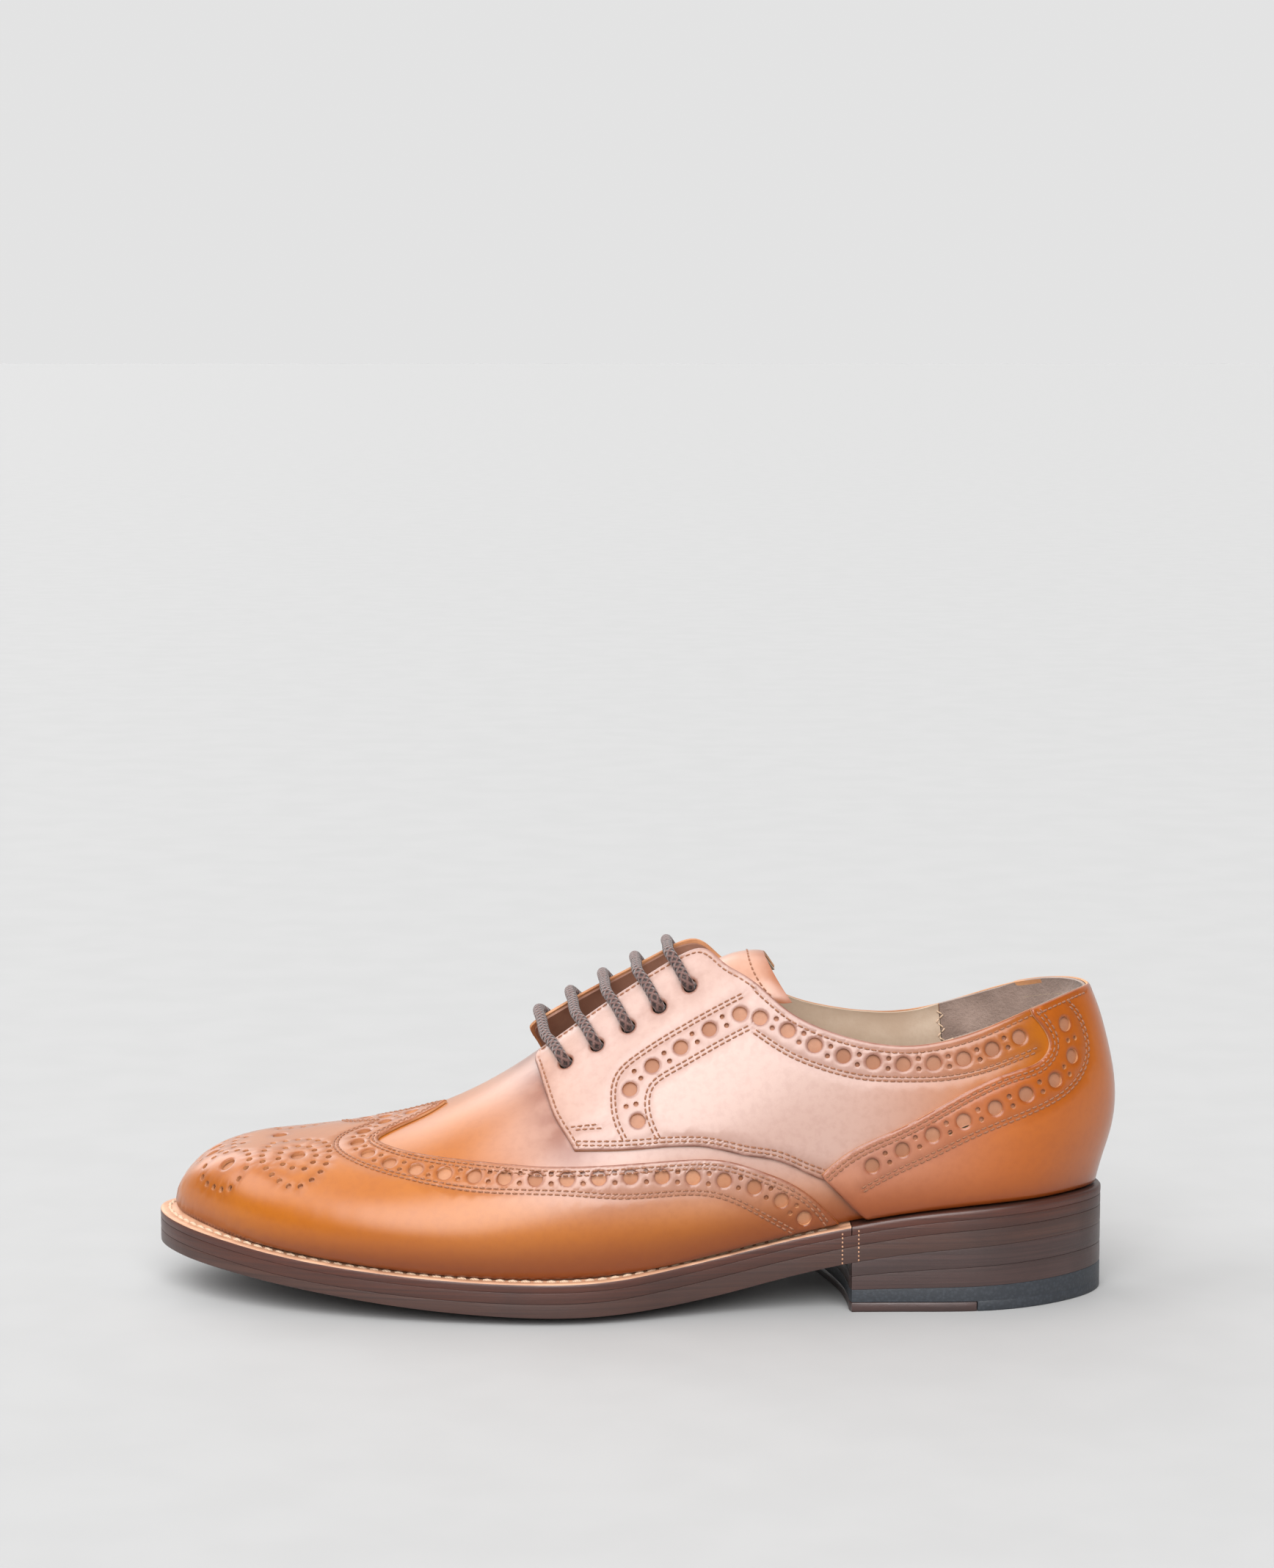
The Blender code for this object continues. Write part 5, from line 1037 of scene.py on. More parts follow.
def build_vamp():
    vamp = np.concatenate([run(VAMP_FRONT, -1, HIDDEN_STEP),
                           feather_run(VAMP_FRONT[-1][0], VAMP_REAR[-1][0], -1, HIDDEN_STEP),
                           run(VAMP_REAR[::-1], -1), [VAMP_REAR[0]]])
    shaded = mirrored(np.concatenate([SHADE_RIDGE, run(FACING_FRONT[::-1], -1)]))
    piece = leather("vamp_leather", mirrored(vamp), VAMP_LAYER, ("tan", "edge"),
                    shaded=shaded)
    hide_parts("vamp")
    half = np.concatenate([runs([LINING_BACK, LINING_JOIN], -1),
                           feather_run(LINING_JOIN[-1][0], TOE_X, -1, HIDDEN_STEP), TOE_END])
    lining = leather("vamp_lining_leather", mirrored(half), LINING_LAYER, "lining", filling=COARSE_FILLING,
                     edge_drop=LINING_DROP)
    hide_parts("vamp_lining")
    for made in (piece, lining):
        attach(made, "root")


def fold_blend(piece, side):
    """Works out where a bend across a facing's fold would start and end, then only bakes the piece's
    transform; the piece is not bent.
    """
    ends = np.array([FACING_SPLIT[-1], FACING_SPLIT[0]]) * [1, side]
    low, high = SKIN.at(ends[:, 0], ends[:, 1], FOLD_HEIGHT)
    axis = unit(high - low)
    middle = (low + high) / 2
    across = on_facing(np.array([FOLD_X]), np.array([side * FACING_EDGE[0][1]]), 1.0)[0] - middle
    across -= across @ axis * axis
    start, end = ((middle + share * across - ORIGIN) * MM for share in FOLD_BLEND)
    tuple(start)
    tuple(end)
    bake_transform(piece)


def quarter_rows(side):
    """The rows of sewing on one quarter and its facing."""
    rows = [double_row(on_facing, line, side, first)[0]
            for line, first in ((FACING_FRONT, FACING_ROW), (FACING_SEAM, FACING_ROW),
                                (FACING_TOP, FACING_ROW), (TOPLINE[:-1], TOPLINE_ROW))]
    rows += double_row(on_facing, QUARTER_LOW[:QUARTER_LOW_SEEN + 2], side, -ROW_FIRST, -ROW_SECOND)
    for line, second in ((TOPLINE_LOW, ROW_GAP), (FACING_BAND_FRONT, -ROW_GAP), (FACING_BAND_REAR, ROW_GAP)):
        rows += double_row(on_facing, line, side, 0, second)
    return rows + [run(line, side, ROW_STEP, on_facing, last=True) for line in BAR_TACKS]


def eyelet_holes(side, radius):
    return [(x, side * v, radius) for x, v in zip(EYELET_X, EYELET_V)]


def build_quarter(side, word):
    """One quarter with its facing: a continuous piece from the laced edge back under the counter."""
    top = TOPLINE[:-2] + QUARTER_TOP_END
    rim = np.concatenate([
        run(FACING_FRONT, side, place=on_facing), run(FACING_CORNER, side, CORNER_STEP, on_facing),
        runs([FACING_EDGE, FACING_TOP], side, on_facing),
        runs([top, [top[-1], QUARTER_LOW[-1]], QUARTER_LOW[::-1]], side)])
    rows = quarter_rows(side)
    holes = brogue(on_facing, TOPLINE_HOLES, side, first=0.3)
    holes += brogue(on_facing, FACING_BAND, side, first=0.15)
    piece = leather(f"quarter_{word}_leather", rim, OVER_LAYER, ("tan", "edge"), place=on_facing,
                    holes=holes + eyelet_holes(side, EYELET_HOLE_R), rows=rows)
    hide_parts(f"quarter_{word}", f"facing_{word}")
    sewing = sewing_of(f"quarter_{word}_thread", on_facing, rows, OVER_LAYER[1])
    backing = leather(f"quarter_{word}_backing", runs(QUARTER_BACKING, side), BACKING_LAYER, "backing",
                      place=on_facing, filling=COARSE_FILLING, edge_drop=0)
    # The facing's lining takes a darker brown than the other linings: painted shade behind the lacing.
    facing = leather(f"facing_{word}_lining_leather", runs(FACING_LINING, side, on_facing),
                     FACING_LINING_LAYER, "facing lining", place=on_facing,
                     holes=eyelet_holes(side, LINING_HOLE_R),
                     edge_drop=FACING_LINING_DROP)
    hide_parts(f"facing_lining_{word}")
    for made in (piece, sewing, backing, facing):
        fold_blend(made, side)


def build_quarter_lining(side, word):
    """The lining from the vamp's lining back to the heel grip."""
    end = HEEL_GRIP_X - LINING_GAP
    top = [p for p in TOPLINE if p[0] < end - 3] + [(end, float(table_at(TOPLINE, end)))]
    front = [(x + JOIN_GAP[0], v - JOIN_GAP[1]) for x, v in LINING_JOIN[:-1]]
    front.append((LINING_JOIN[-1][0] + JOIN_GAP[0], 1))
    rim = np.concatenate([runs([front[:1] + LINING_FOLD, top, [top[-1], (end, 0.8), (end, 1)]], side),
                          feather_run(end, front[-1][0], side), run(front[::-1], side)])
    lining = leather(f"quarter_{word}_lining_leather", rim, LINING_LAYER, "lining", place=on_lining,
                     edge_drop=LINING_DROP)
    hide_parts(f"quarter_lining_{word}")
    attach(lining, "root")


def heel_rim(front, top, low_end):
    """One half of a rim round the heel up to the back seam, the other half, and the two low edges."""
    half = np.concatenate([front, top, [[HEEL_X, -TOPLINE[-1][1]]]])
    low = feather_run(HEEL_X, low_end, -1)
    return half, (half[:-1] * [1, -1])[::-1], (low[1:] * [1, -1])[::-1], low


def drop_repeats(rim):
    """Leaves out points that repeat the one before them once they are laid flat."""
    laid = SKIN.flat_heel(rim[:, 0], rim[:, 1])
    return rim[np.linalg.norm(laid - np.roll(laid, 1, axis=0), axis=1) > REPEAT_GAP]


def build_counter():
    half, other, other_low, low = heel_rim(
        run(COUNTER_UP, -1), runs([[COUNTER_UP[-1], COUNTER_TOP[0]], COUNTER_TOP], -1), COUNTER_FRONT[-1][0])
    front = run(COUNTER_FRONT[::-1], -1)
    rim = np.concatenate([half, other, (front[1:] * [1, -1])[::-1], other_low, low, front])
    rows, holes = [], []
    for side in (-1, 1):
        rows += double_row(on_skin, COUNTER_UP, side)
        rows += double_row(on_skin, COUNTER_LOW, side, 0, ROW_GAP)
        rows += double_row(on_skin, COUNTER_SEAM, side, COUNTER_ROW)[:1]
        holes += brogue(on_skin, COUNTER_HOLES, side, first=0.2)
    piece = leather("counter_leather", drop_repeats(rim), COUNTER_LAYER, ("counter", "edge"),
                    flat=SKIN.flat_heel, holes=holes, rows=rows, filling=HEEL_FILLING)
    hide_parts("counter")
    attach(piece, "root")
    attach(sewing_of("counter_thread", on_skin, rows, COUNTER_LAYER[1]), "root")
    for side, word in ((-1, "lateral"), (1, "medial")):
        backing = leather(f"counter_{word}_backing", runs(COUNTER_STRIP, side), COUNTER_BACKING, "backing",
                          filling=COARSE_FILLING, edge_drop=0)
        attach(backing, "root")


def build_heel_grip():
    """The suede inside the heel and the zigzag rows that hold its front edges."""
    top_at = float(table_at(TOPLINE, HEEL_GRIP_X))
    up = run([(HEEL_GRIP_X, 1), (HEEL_GRIP_X, 0.8), (HEEL_GRIP_X, top_at)], -1)
    top = run([(HEEL_GRIP_X, top_at)] + [p for p in TOPLINE if p[0] > HEEL_GRIP_X + 4], -1)
    rim = drop_repeats(np.concatenate(heel_rim(up, top, HEEL_GRIP_X)))
    grip = leather("heel_grip_suede", rim, LINING_LAYER, "suede", place=on_lining, flat=SKIN.flat_heel,
                   filling=HEEL_FILLING, edge_drop=LINING_DROP)
    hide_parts("heel_lining")
    turns = np.arange(ZIGZAG_TURNS + 1)
    v = top_at + 0.02 + (0.97 - top_at) * turns / ZIGZAG_TURNS
    x = HEEL_GRIP_X + np.where(turns % 2, ZIGZAG_REACH, -ZIGZAG_REACH)
    seams = []
    for side in (-1, 1):
        points, normals = sewn(on_lining, np.stack([x, side * v], -1), LINING_LAYER[0] - 0.1)
        seams.append((points, -normals))
    zigzag = thread("heel_grip_thread", seams, "pale thread", *ZIGZAG_THREAD)
    for made in (grip, zigzag):
        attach(made, "root")


# ---- the tongue ----------------------------------------------------------------------------------------

def tongue_point(share, turn_share, depth):
    """A place on the tongue: share along it, -1..1 across it, and depth below its face."""
    line = np.array(TONGUE_LINE, float)
    chord = lengths_along(line)
    spots = np.array([share - 0.004, share, share + 0.004]) * chord[-1]
    before, here, after = np.stack([spline(chord, line[:, c], spots) for c in (0, 1)], -1)
    along_x, along_z = unit(after - before)
    rounding = math.sqrt(1 - TONGUE_TIP_CUT * max(0, (share - TONGUE_TIP) / (1 - TONGUE_TIP)) ** 2)
    half = np.interp(share, (0, 1), TONGUE_HALVES[-1 if turn_share < 0 else 1])
    turn = turn_share * rounding * half / TONGUE_R
    forward, up = np.array([along_x, 0, along_z]), np.array([-along_z, 0, along_x])
    radius = TONGUE_R - depth
    spot = np.array([here[0], TONGUE_Y, here[1]])
    spot += TONGUE_LEAN * share * (turn / TONGUE_WIDEST_TURN) ** 2 * forward
    return spot + np.array([0, radius * math.sin(turn), 0]) + (radius * math.cos(turn) - TONGUE_R) * up


def tongue_sheet(name, depth, thickness, looks, rows=56, columns=41):
    """The tongue or its lining as a closed sheet with rounded rims."""
    vertices, burn, faces = [], [], []
    for layer in (0, 1):
        for i in range(rows):
            for j in range(columns):
                rim = min(i, rows - 1 - i, j, columns - 1 - j)
                drop = TONGUE_DROPS[rim] if rim < len(TONGUE_DROPS) and layer == 0 else 0.0
                vertices.append(tongue_point(i / (rows - 1), 2 * j / (columns - 1) - 1,
                                             depth + drop + thickness * layer))
                burn.append(max(0.0, TONGUE_BURN - TONGUE_BURN_FALL * rim))
    count = rows * columns
    for i in range(rows - 1):
        for a in range(i * columns, (i + 1) * columns - 1):
            quad = [a, a + 1, a + columns + 1, a + columns]
            faces += [quad, [k + count for k in quad[::-1]]]
    grid = np.arange(count).reshape(rows, columns)
    rim = np.concatenate([grid[0], grid[1:, -1], grid[-1, -2::-1], grid[-2:0:-1, 0]]).tolist()
    walls = [[b, a, a + count, b + count] for a, b in zip(rim, rim[1:] + rim[:1])]
    slots = [0, 1] * (len(faces) // 2) + [1] * len(walls)
    piece = make_piece(name, vertices, faces + walls, looks, slots, attributes={"burnish": burn})
    return piece


def build_tongue():
    outer = tongue_sheet("tongue_leather", 0, TONGUE_THICK, ("tongue", "edge"))
    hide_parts("tongue")
    inner = tongue_sheet("tongue_lining_leather", TONGUE_THICK + 0.1, TONGUE_LINING + 0.2,
                         ("lining", "lining"))
    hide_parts("tongue_lining")
    shares, edge = np.linspace(*TONGUE_ROW, TONGUE_ROW_POINTS), TONGUE_ROW_EDGE
    spots = [(share, -edge) for share in shares]
    spots += [(TONGUE_ROW[1] + TONGUE_ROW_BOW * math.cos(a * math.pi), a * edge)
              for a in np.linspace(-0.96, 0.96, TONGUE_ROW_POINTS)]
    spots += [(share, edge) for share in shares[::-1]]
    points, deeper = (np.array([tongue_point(s, t, depth) for s, t in spots]) for depth in (-0.02, 1.0))
    sewing = thread("tongue_thread", [(points, unit(points - deeper))], "thread")
    for made in (outer, inner, sewing):
        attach(made, "tongue")


# ---- the lace ------------------------------------------------------------------------------------------

def eyelet_frame(side, number):
    """Centre and normal of an eyelet on the facing's face."""
    line = np.array([[EYELET_X[number], side * EYELET_V[number]]])
    points, normals, _ = frames(lambda x, v: on_facing(x, v, OVER_LAYER[1]), line)
    return points[0], normals[0]


def eyelet_point(side, number, rise):
    centre, normal = eyelet_frame(side, number)
    return centre + rise * normal


def lace_bar(number, start):
    """One straight bar over the facings, from inside the eyelet on the start side to inside the other."""
    halves = []
    x, v = EYELET_X[number], EYELET_V[number]
    share = np.array(BAR_SHARES)
    for side in (start, -start):
        centre, normal = eyelet_frame(side, number)
        surface = list(on_facing(x + BAR_LEAN * share, side * (v + (FACING_EDGE[0][1] - v) * share),
                                 OVER_LAYER[1] + LACE_R + BAR_CLEAR))
        toward = surface[0] - centre
        toward = unit(toward - toward @ normal * normal)
        halves.append([centre + rise * normal + ahead * toward for rise, ahead in LACE_THROUGH] + surface)
    near, far = halves
    middle = (near[-1] + far[-1]) / 2 + np.array(BAR_SAG)
    return near + [middle] + far[::-1]


def lace_under(side, first, last, sway):
    """The run inside a facing between two eyelets, swung sideways to pass the eyelets between them."""
    count, end = UNDER_SHORT if last - first == 1 else UNDER_LONG
    share = np.linspace(end, 1 - end, count)
    x, v = (at[first] + (at[last] - at[first]) * share for at in (EYELET_X, EYELET_V))
    v = v + sway * np.sin(math.pi * share) ** 0.7 / 100
    return list(on_facing(x, side * v, UNDER_DEPTH[side]))


def lace_tail(side, number):
    """A tail tucked down inside the shoe and laid forward along the sock."""
    x = EYELET_X[number]
    points = [place_of(lambda a, b: on_facing(a, b, UNDER_DEPTH[side]),
                       (x + 0.7, side * (EYELET_V[number] + 0.04)))]
    for ahead, v in TAIL_WALL:
        depth = TAIL_DEPTH[side] - 4 * max(0, v - 0.5)
        points.append(place_of(lambda a, b: SKIN.at(a, b, depth), (x + ahead, side * v)))
    for a, b in TAIL_FLOOR[side]:
        points.append(np.array([a, b, float(feather_z(a)) + SOCK_TOP + LACE_R + TAIL_CLEAR]))
    return points


def tube(name, route, step=0.7, corners=18):
    """A braided tube along a route, with its length and turn kept for the braid."""
    route = np.array(route)
    chord = np.concatenate([[0], np.cumsum(np.sqrt(np.linalg.norm(np.diff(route, axis=0), axis=1)))])
    dense = np.stack([spline(chord, route[:, c], np.linspace(0, chord[-1], 1500)) for c in range(3)], -1)
    length = lengths_along(dense)
    places = np.linspace(0, length[-1], max(3, round(length[-1] / step)))
    line = read_at(places, length, dense)
    ahead = headings(line)
    across = np.cross(ahead[0], [0.2, 0.3, 0.9])
    turns = np.arange(corners) * 2 * math.pi / corners
    relief = 1 + BRAID_RELIEF * np.cos(BRAID_BY_LENGTH * places)[:, None] * np.cos(BRAID_STRANDS * turns)
    vertices = []
    for point, heading, swell in zip(line, ahead, relief):
        across = unit(across - across @ heading * heading)
        vertices += list(ring(point, LACE_R * swell[:, None], across, np.cross(heading, across), corners))
    return make_piece(name, vertices, tube_faces(0, len(line), corners), "lace",
                      attributes={"run": np.repeat(places, corners), "turn": np.tile(turns, len(line))})


def through(side, number, rises):
    """The places where the lace dips through an eyelet, or none for a tail's free end."""
    return [] if number is None else [eyelet_point(side, number, rise) for rise in rises]


def build_lace():
    """The bars, each halved at its middle, and the runs and tails that join them inside the facings."""
    bars = [(start, lace_bar(n, start)) for n, start in ((3, -1), (1, 1), (0, -1), (2, 1), (4, -1))]
    middle = len(bars[0][1]) // 2
    inner = {-1: [(None, 3, lace_tail(-1, 3)[::-1]), (1, 0, lace_under(-1, 1, 0, 0.0)),
                  (2, 4, lace_under(-1, 2, 4, -4.0))],
             1: [(3, 1, lace_under(1, 3, 1, 4.0)), (0, 2, lace_under(1, 0, 2, -4.0)),
                 (4, None, lace_tail(1, 4))]}
    for side, word in ((-1, "lateral"), (1, "medial")):
        halves = [route[:middle + 1] if start == side else route[middle:][::-1] for start, route in bars]
        bar = join(f"lace_bars_{word}", [tube("bar", route) for route in halves])
        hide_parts("lace")
        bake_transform(bar)
        under = join(f"lace_inner_{word}", [
            tube("inner", through(side, first, LACE_DIPS) + route + through(side, last, LACE_DIPS[::-1]),
                 step=1.2, corners=14) for first, last, route in inner[side]])
        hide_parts("lace")
        fold_blend(under, side)


# ---- the bottom ----------------------------------------------------------------------------------------

def half_outline(side, first, last, step):
    """The sole's edge on one side between two stations."""
    rows = SOLE_LATERAL_Y if side < 0 else SOLE_MEDIAL_Y
    angles = np.linspace(*station_angle([first, last], SOLE_TOE_X, SOLE_HEEL_X), 600)
    x = station_x(angles, SOLE_TOE_X, SOLE_HEEL_X)
    return even(np.stack([x, along(rows, x, SOLE_TOE_X, SOLE_HEEL_X)], -1), step)


def spread_over(line, count):
    """A number of points at even distances along a plan line."""
    length = lengths_along(line)
    return read_at(np.linspace(0, length[-1], count), length, line)


def even(line, step):
    return spread_over(line, max(2, round(lengths_along(line)[-1] / step)) + 1)


def sole_loop(step=2.2):
    lateral = half_outline(-1, SOLE_TOE_X, SOLE_HEEL_X, step)
    medial = half_outline(1, SOLE_HEEL_X, SOLE_TOE_X, step)
    return np.concatenate([lateral[:-1], medial[:-1]])


def edge_z(x):
    return along(EDGE_Z, np.clip(x, SOLE_TOE_X, SOLE_HEEL_X), SOLE_TOE_X, SOLE_HEEL_X)


def feather_z(x):
    return along(FEATHER_Z, np.clip(x, TOE_X, HEEL_X))


def sole_low_z(x, y):
    """The outsole's underside, which bulges down across the forepart."""
    held = np.clip(x, SOLE_TOE_X, SOLE_HEEL_X)
    low, high = (along(rows, held, SOLE_TOE_X, SOLE_HEEL_X) for rows in (SOLE_LATERAL_Y, SOLE_MEDIAL_Y))
    half = np.maximum((high - low) / 2, 1e-3)
    across = np.clip(np.abs(y - (low + high) / 2) / half, 0, 1)
    eased = smooth_step((CROWN_END_X - x) / CROWN_EASE) * smooth_step(half / CROWN_EASE)
    bulge = CROWN * (1 - across ** 2) * eased
    return np.maximum(along(SOLE_LOW_Z, held, SOLE_TOE_X, SOLE_HEEL_X) - bulge, 0)


def across_line(ahead):
    """The unit directions square to plan headings, on their left."""
    ahead = unit(ahead)
    return np.stack([-ahead[:, 1], ahead[:, 0]], -1)


def inward(loop):
    """The unit direction into a closed plan loop at each of its points."""
    return across_line(np.roll(loop, -1, axis=0) - np.roll(loop, 1, axis=0)) * np.sign(signed_area(loop))


def plate(name, loop, top, bottom, look, rounding=0.12, cell=6.0):
    """A plate with a softened edge, between two heights given over the plan."""
    into = inward(loop)
    cap = loop + into * (rounding * 1.6)
    grid = np.array([(x, y) for x in np.arange(-150, 152, cell) for y in np.arange(-56, 56, cell)])
    grid = grid[inside(grid, cap)]
    plan = np.concatenate([cap, grid[distances(grid, cap) > cell * 0.45]])
    count = len(loop)
    index, triangles = triangulated(plan, [count], cap)
    plan, size, rim = plan[index], len(index), np.argsort(index)[:count]
    t, b = top(*loop.T), bottom(*loop.T)
    soft = loop + into * rounding * 0.5
    rings = [np.column_stack([soft, t - rounding * 0.3])]
    rings += [np.column_stack([loop, t + (b - t) * share]) for share in PLATE_WALL]
    rings += [np.column_stack([soft, b + rounding * 0.3])]
    caps = [np.column_stack([plan, height(*plan.T)]) for height in (top, bottom)]
    rows = [rim] + [2 * size + k * count + np.arange(count) for k in range(len(rings))] + [rim + size]
    faces = triangles.tolist() + (triangles[:, ::-1] + size).tolist()
    for upper, lower in zip(rows, rows[1:]):
        faces += np.stack([upper, lower, np.roll(lower, -1), np.roll(upper, -1)], -1).tolist()
    piece = make_piece(name, np.concatenate(caps + rings), faces, look, sharp=50)
    face_outwards(piece)
    return piece


def face_outwards(piece):
    body = bmesh.new()
    body.from_mesh(piece.data)
    bmesh.ops.recalc_face_normals(body, faces=body.faces[:])
    body.to_mesh(piece.data)
    body.free()


def feather_line(side, first, last):
    angles = np.linspace(*station_angle([first, last]), 600)
    return SKIN.at(station_x(angles), np.full(600, side * 1.0))[:, :2]


def welt_lines(end_x, around_toe, count):
    """Outer edge and inner edge of the part of the welt or rand on one side of a station."""
    turn_outer = SOLE_TOE_X if around_toe else SOLE_HEEL_X
    turn_inner = TOE_X if around_toe else HEEL_X
    outer = np.concatenate([half_outline(-1, end_x, turn_outer, 1.0)[:-1],
                            half_outline(1, turn_outer, end_x, 1.0)])
    inner = np.concatenate([feather_line(-1, end_x, turn_inner)[:-1], feather_line(1, turn_inner, end_x)])
    return spread_over(outer, count), spread_over(inner, count)


def open_inward(line, around_toe):
    """The unit direction from the edge towards the middle of the shoe."""
    across = across_line(np.gradient(line, axis=0))
    middle = len(line) // 2
    centre = np.array([0.0 if around_toe else 100.0, 0.0])
    return across * np.sign((centre - line[middle]) @ across[middle])


def build_welt(name, end_x, around_toe, section, looks, count):
    """The welt or the rand, and the line of its stitches."""
    outer, inner = welt_lines(end_x, around_toe, count)
    into = open_inward(outer, around_toe)
    top = edge_z(outer[:, 0])
    tucked = inner + open_inward(inner, around_toe) * WELT_TUCK
    rings = [np.column_stack([tucked, feather_z(inner[:, 0]) - GAP])]
    rings += [np.column_stack([outer + into * u, top + w]) for u, w in section]
    rings.append(np.column_stack([tucked, top - WELT]))
    grid = np.arange(len(rings) * count).reshape(len(rings), count)
    after = np.roll(grid, -1, axis=0)
    faces = np.stack([grid[:, :-1], grid[:, 1:], after[:, 1:], after[:, :-1]], -1).reshape(-1, 4).tolist()
    slots = [1] * LIP_RINGS * (count - 1) + [0] * (len(rings) - LIP_RINGS) * (count - 1) + [0, 0]
    ends = [grid[:, 0].tolist(), grid[::-1, -1].tolist()]
    piece = make_piece(name, np.concatenate(rings), faces + ends, looks, slots, sharp=45)
    face_outwards(piece)
    return piece, np.column_stack([outer + into * STITCH_LINE, top - THREAD_SUNK])


def breast_at(y):
    """The station of the heel's hollow breast at a distance across the shoe."""
    x, across = np.array(BREAST, float).T
    return spline(across, x, np.clip(y, across[0], across[-1]))


def heel_loop(step=2.0):
    """The heel's plan: the sole's edge closed by the hollow breast."""
    y = np.linspace(BREAST[0][1], BREAST[-1][1], 200)
    x = breast_at(y)
    lateral, medial = (half_outline(side, 40.0, SOLE_HEEL_X, 1.0) for side in (-1, 1))
    keep = (y > np.interp(x, *lateral.T) + 0.2) & (y < np.interp(x, *medial.T) - 0.2)
    front = np.stack([x[keep], y[keep]], -1)
    lateral = lateral[lateral[:, 0] > front[0, 0] + 0.2]
    medial = medial[medial[:, 0] > front[-1, 0] + 0.2]
    outline = even(np.concatenate([lateral, medial[-2::-1]]), step)
    return np.concatenate([outline, even(front[::-1], step)[1:-1]])


def split_loop(loop, shift_x, front, step=2.0, clear=0.6):
    """The part of the heel's loop before or behind the breast's curve moved back by shift_x."""
    y = np.linspace(-42, 42, 500)
    x = breast_at(y) + shift_x
    limit = np.interp(loop[:, 1], y, x)
    part = loop[(loop[:, 0] < limit - clear) if front else (loop[:, 0] > limit + clear)]
    gaps = np.linalg.norm(part - np.roll(part, 1, axis=0), axis=1)
    part = np.roll(part, -int(np.argmax(gaps)), axis=0)
    line = np.stack([x, y], -1)
    line = even(line[inside(line, loop)], step)
    if np.linalg.norm(part[-1] - line[0]) > np.linalg.norm(part[-1] - line[-1]):
        line = line[::-1]
    return np.concatenate([part, line])


def stand(made, node):
    """A piece of the bottom in the place of its CAD node."""
    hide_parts(node)
    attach(made, "root")


def build_soles():
    loop = sole_loop()
    under_welt, under_midsole = WELT + SOLE_SEAM, WELT + GAP + MIDSOLE + 2 * SOLE_SEAM
    midsole = plate("midsole_edge", loop, lambda x, y: edge_z(x) - under_welt,
                    lambda x, y: edge_z(x) - under_midsole, "midsole")
    stand(midsole, "midsole")
    outsole = plate("outsole_leather_sole", loop, lambda x, y: edge_z(x) - under_midsole - OUTSOLE_SEAM,
                    sole_low_z, "outsole")
    stand(outsole, "outsole")


def build_edges():
    """The welt with its stitches, the heel rand and the wheel marks where they meet."""
    welt, line = build_welt("welt_strip", WELT_END_X - GAP, True, WELT_SECTION, ("welt", "welt top"), 300)
    stand(welt, "welt")
    rand, _ = build_welt("heel_rand_strip", WELT_END_X, False, RAND_SECTION, ("welt", "midsole"), 120)
    stand(rand, "heel_rand")
    marks = []
    for side in (-1, 1):
        for x in WHEEL_MARKS:
            outline = half_outline(side, x, x + 1, 1.0)[0] + [0, side * 0.05]
            down = [(*outline, edge_z(x) - depth) for depth in range(1, 13)]
            marks.append((np.array(down), np.tile([0.0, side, 0.0], (len(down), 1))))
    wheel = thread("wheel_marks", marks, "welt top", *WHEEL_THREAD)
    line = line[4:-4]
    up = np.tile([0.0, 0.0, 1.0], (len(line), 1))
    sewing = thread("welt_thread", [(line, up)], "pale thread", *WELT_THREAD)
    for made in (wheel, sewing):
        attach(made, "root")


def build_heel():
    """Two lifts over a top piece of rubber with a leather insert at its front."""
    heel = heel_loop()

    def top_piece_z(x, y):
        share = (x - TOP_PIECE_X) / (SOLE_HEEL_X - TOP_PIECE_X)
        return TOP_PIECE_FRONT + (TOP_PIECE_BACK - TOP_PIECE_FRONT) * share

    def between(share, lift):
        return lambda x, y: top_piece_z(x, y) + (sole_low_z(x, y) - top_piece_z(x, y)) * share + lift

    def level(z):
        return lambda x, y: 0 * x + z

    for name, high, low, node in (("heel_lift_upper", 1, 0.5, "heel_lift_1"),
                                  ("heel_lift_lower", 0.5, 0, "heel_lift_2")):
        lift = plate(name, heel, between(high, -LIFT_SEAM), between(low, LIFT_SEAM), "lift")
        stand(lift, node)
    slab = plate("slab", heel, top_piece_z, level(INSERT_THICK + 0.1), "rubber")
    rear = plate("rear", split_loop(heel, INSERT_LENGTH, False), level(INSERT_THICK + 0.4), level(0),
                 "rubber", rounding=TREAD_ROUNDING)
    stand(join("top_piece_rubber_block", [slab, rear]), "top_piece_rubber")
    insert = plate("top_piece_leather_insert", split_loop(heel, INSERT_LENGTH - GAP, True),
                   level(INSERT_THICK), level(0), "lift", rounding=TREAD_ROUNDING)
    stand(insert, "top_piece_insert")


def build_sock():
    sock = np.concatenate([feather_line(-1, TOE_X, HEEL_X)[:-1:6], feather_line(1, HEEL_X, TOE_X)[:-1:6]])
    sock = even(np.concatenate([sock, sock[:1]]), 2.5)[:-1]
    sock = plate("sock_leather", sock + inward(sock) * SOCK_INSET, lambda x, y: feather_z(x) + SOCK_TOP,
                 lambda x, y: feather_z(x) + SOCK_LOW, "lining", rounding=0.2)
    stand(sock, "sock_lining")


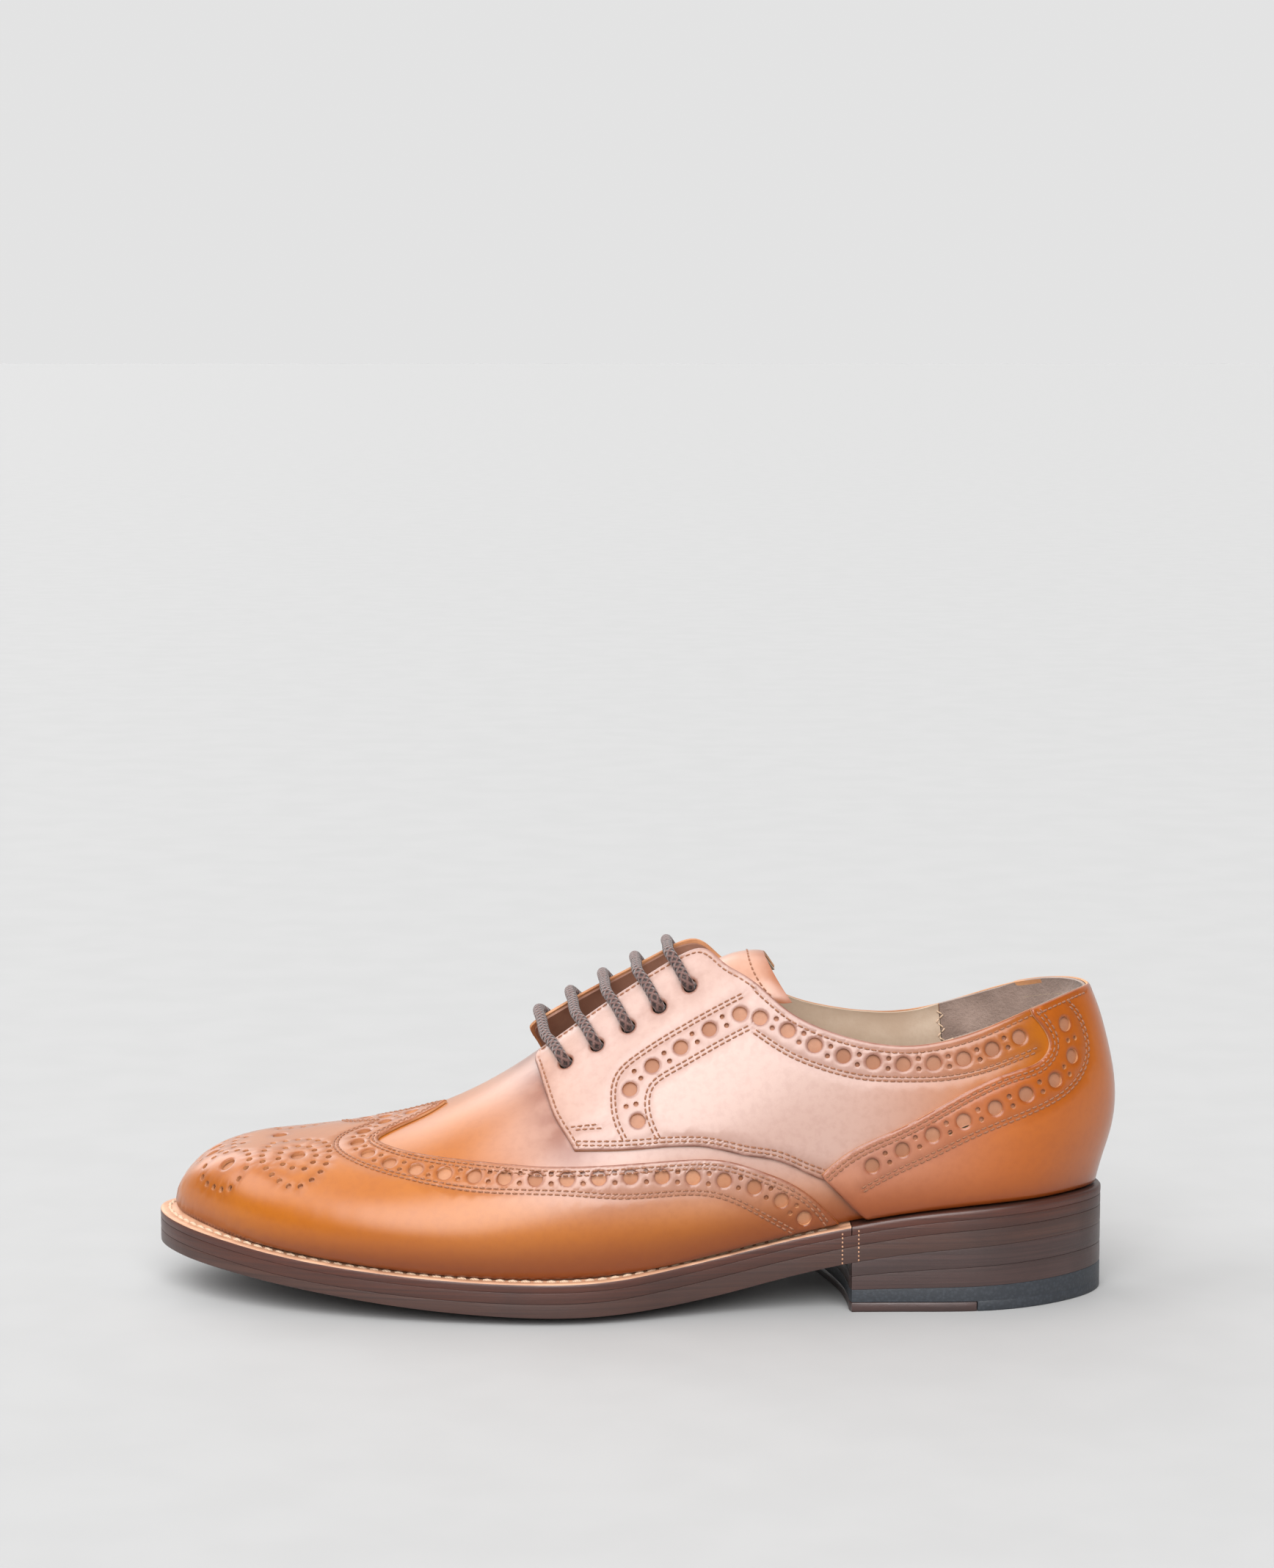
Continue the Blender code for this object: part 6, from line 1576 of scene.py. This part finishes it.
def dress_cad():
    """Materials for the CAD nodes that stay in view or inside the shoe."""
    looks = {"insole": "insole", "insole_rib": "board", "cork_filler": "cork", "shank": "steel",
             "toe_puff": "board", "heel_stiffener": "board", "aglet_1": "plastic", "aglet_2": "plastic"}
    for name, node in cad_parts.items():
        look = "brass" if name.startswith("eyelet") else looks.get(name)
        if look:
            node.data.materials.clear()
            node.data.materials.append(LOOK[look])


# ---- floor, light and camera ---------------------------------------------------------------------------

FLOOR_COLOUR = ("acacac", "aeaeae")
# The eye's place in metres, its tilt in degrees and its focal length.
EYE_PLACE, TILT_DOWN, LENS = (0, -1.1434, 0.2977), 6.9, 84.9
# Panels of light: direction, angle of full strength, angle of none, strength.
PANELS = [((0, 0, 1), 170, 180, 0.12), ((0, 1, 0.03), 30, 75, 0.65), ((-0.03, -0.76, 0.64), 19, 34, 6.4),
          ((-0.95, -0.1, 0.95), 12, 30, 3.4), ((0.05, 0.35, 1), 12, 36, 1.3),
          ((-0.5, 0.75, 0.52), 9, 24, 2.2)]


def build_stage():
    mesh = bpy.data.meshes.new("studio floor")
    mesh.from_pydata([(-9, -5, 0), (9, -5, 0), (9, 40, 0), (-9, 40, 0)], [], [(0, 1, 2, 3)])
    floor = bpy.data.objects.new("studio_floor", mesh)
    bpy.context.scene.collection.objects.link(floor)
    n = material("studio paper")
    mesh.materials.append(n.finish(color=n.tint(*FLOOR_COLOUR, n.noise(30, 2), 0.3, 0.7), rough=0.6,
                                   specular=0.1))


def build_world():
    """A studio without walls: an even pale backdrop with large soft panels above and in front."""
    world = bpy.data.worlds.new("studio")
    bpy.context.scene.world = world
    n = Nodes(world)
    direction = n.add("TexCoord").outputs["Generated"]
    total = 0.0
    for toward, inner, outer, strength in PANELS:
        dot = n.add("VectorMath", {0: direction, 1: unit(np.array(toward, float))}, operation="DOT_PRODUCT")
        full, none = (math.cos(math.radians(angle)) for angle in (inner, outer))
        total = n.math("ADD", total, n.ramp(dot.outputs["Value"], none, full, 0, strength))
    background = n.tree.nodes["Background"]
    n.set(background.inputs["Color"], "ffffff")
    n.set(background.inputs["Strength"], total)


def build_camera():
    """A long lens low in front of the lateral side, tilted a little down."""
    data = bpy.data.cameras.new("camera")
    data.lens, data.clip_end = LENS, 60
    data.sensor_width = data.sensor_height = 36.0
    data.sensor_fit = "VERTICAL"
    camera = bpy.data.objects.new("camera", data)
    camera.location = EYE_PLACE
    camera.rotation_euler = (math.radians(90 - TILT_DOWN), 0, 0)
    bpy.context.scene.collection.objects.link(camera)
    bpy.context.scene.camera = camera
    bpy.context.scene.view_settings.view_transform = "Standard"


build_wing()
build_vamp()
for one_side, one_word in ((-1, "lateral"), (1, "medial")):
    build_quarter(one_side, one_word)
    build_quarter_lining(one_side, one_word)
build_counter()
build_heel_grip()
build_tongue()
build_lace()
build_soles()
build_edges()
build_heel()
build_sock()
dress_cad()
build_stage()
build_world()
build_camera()
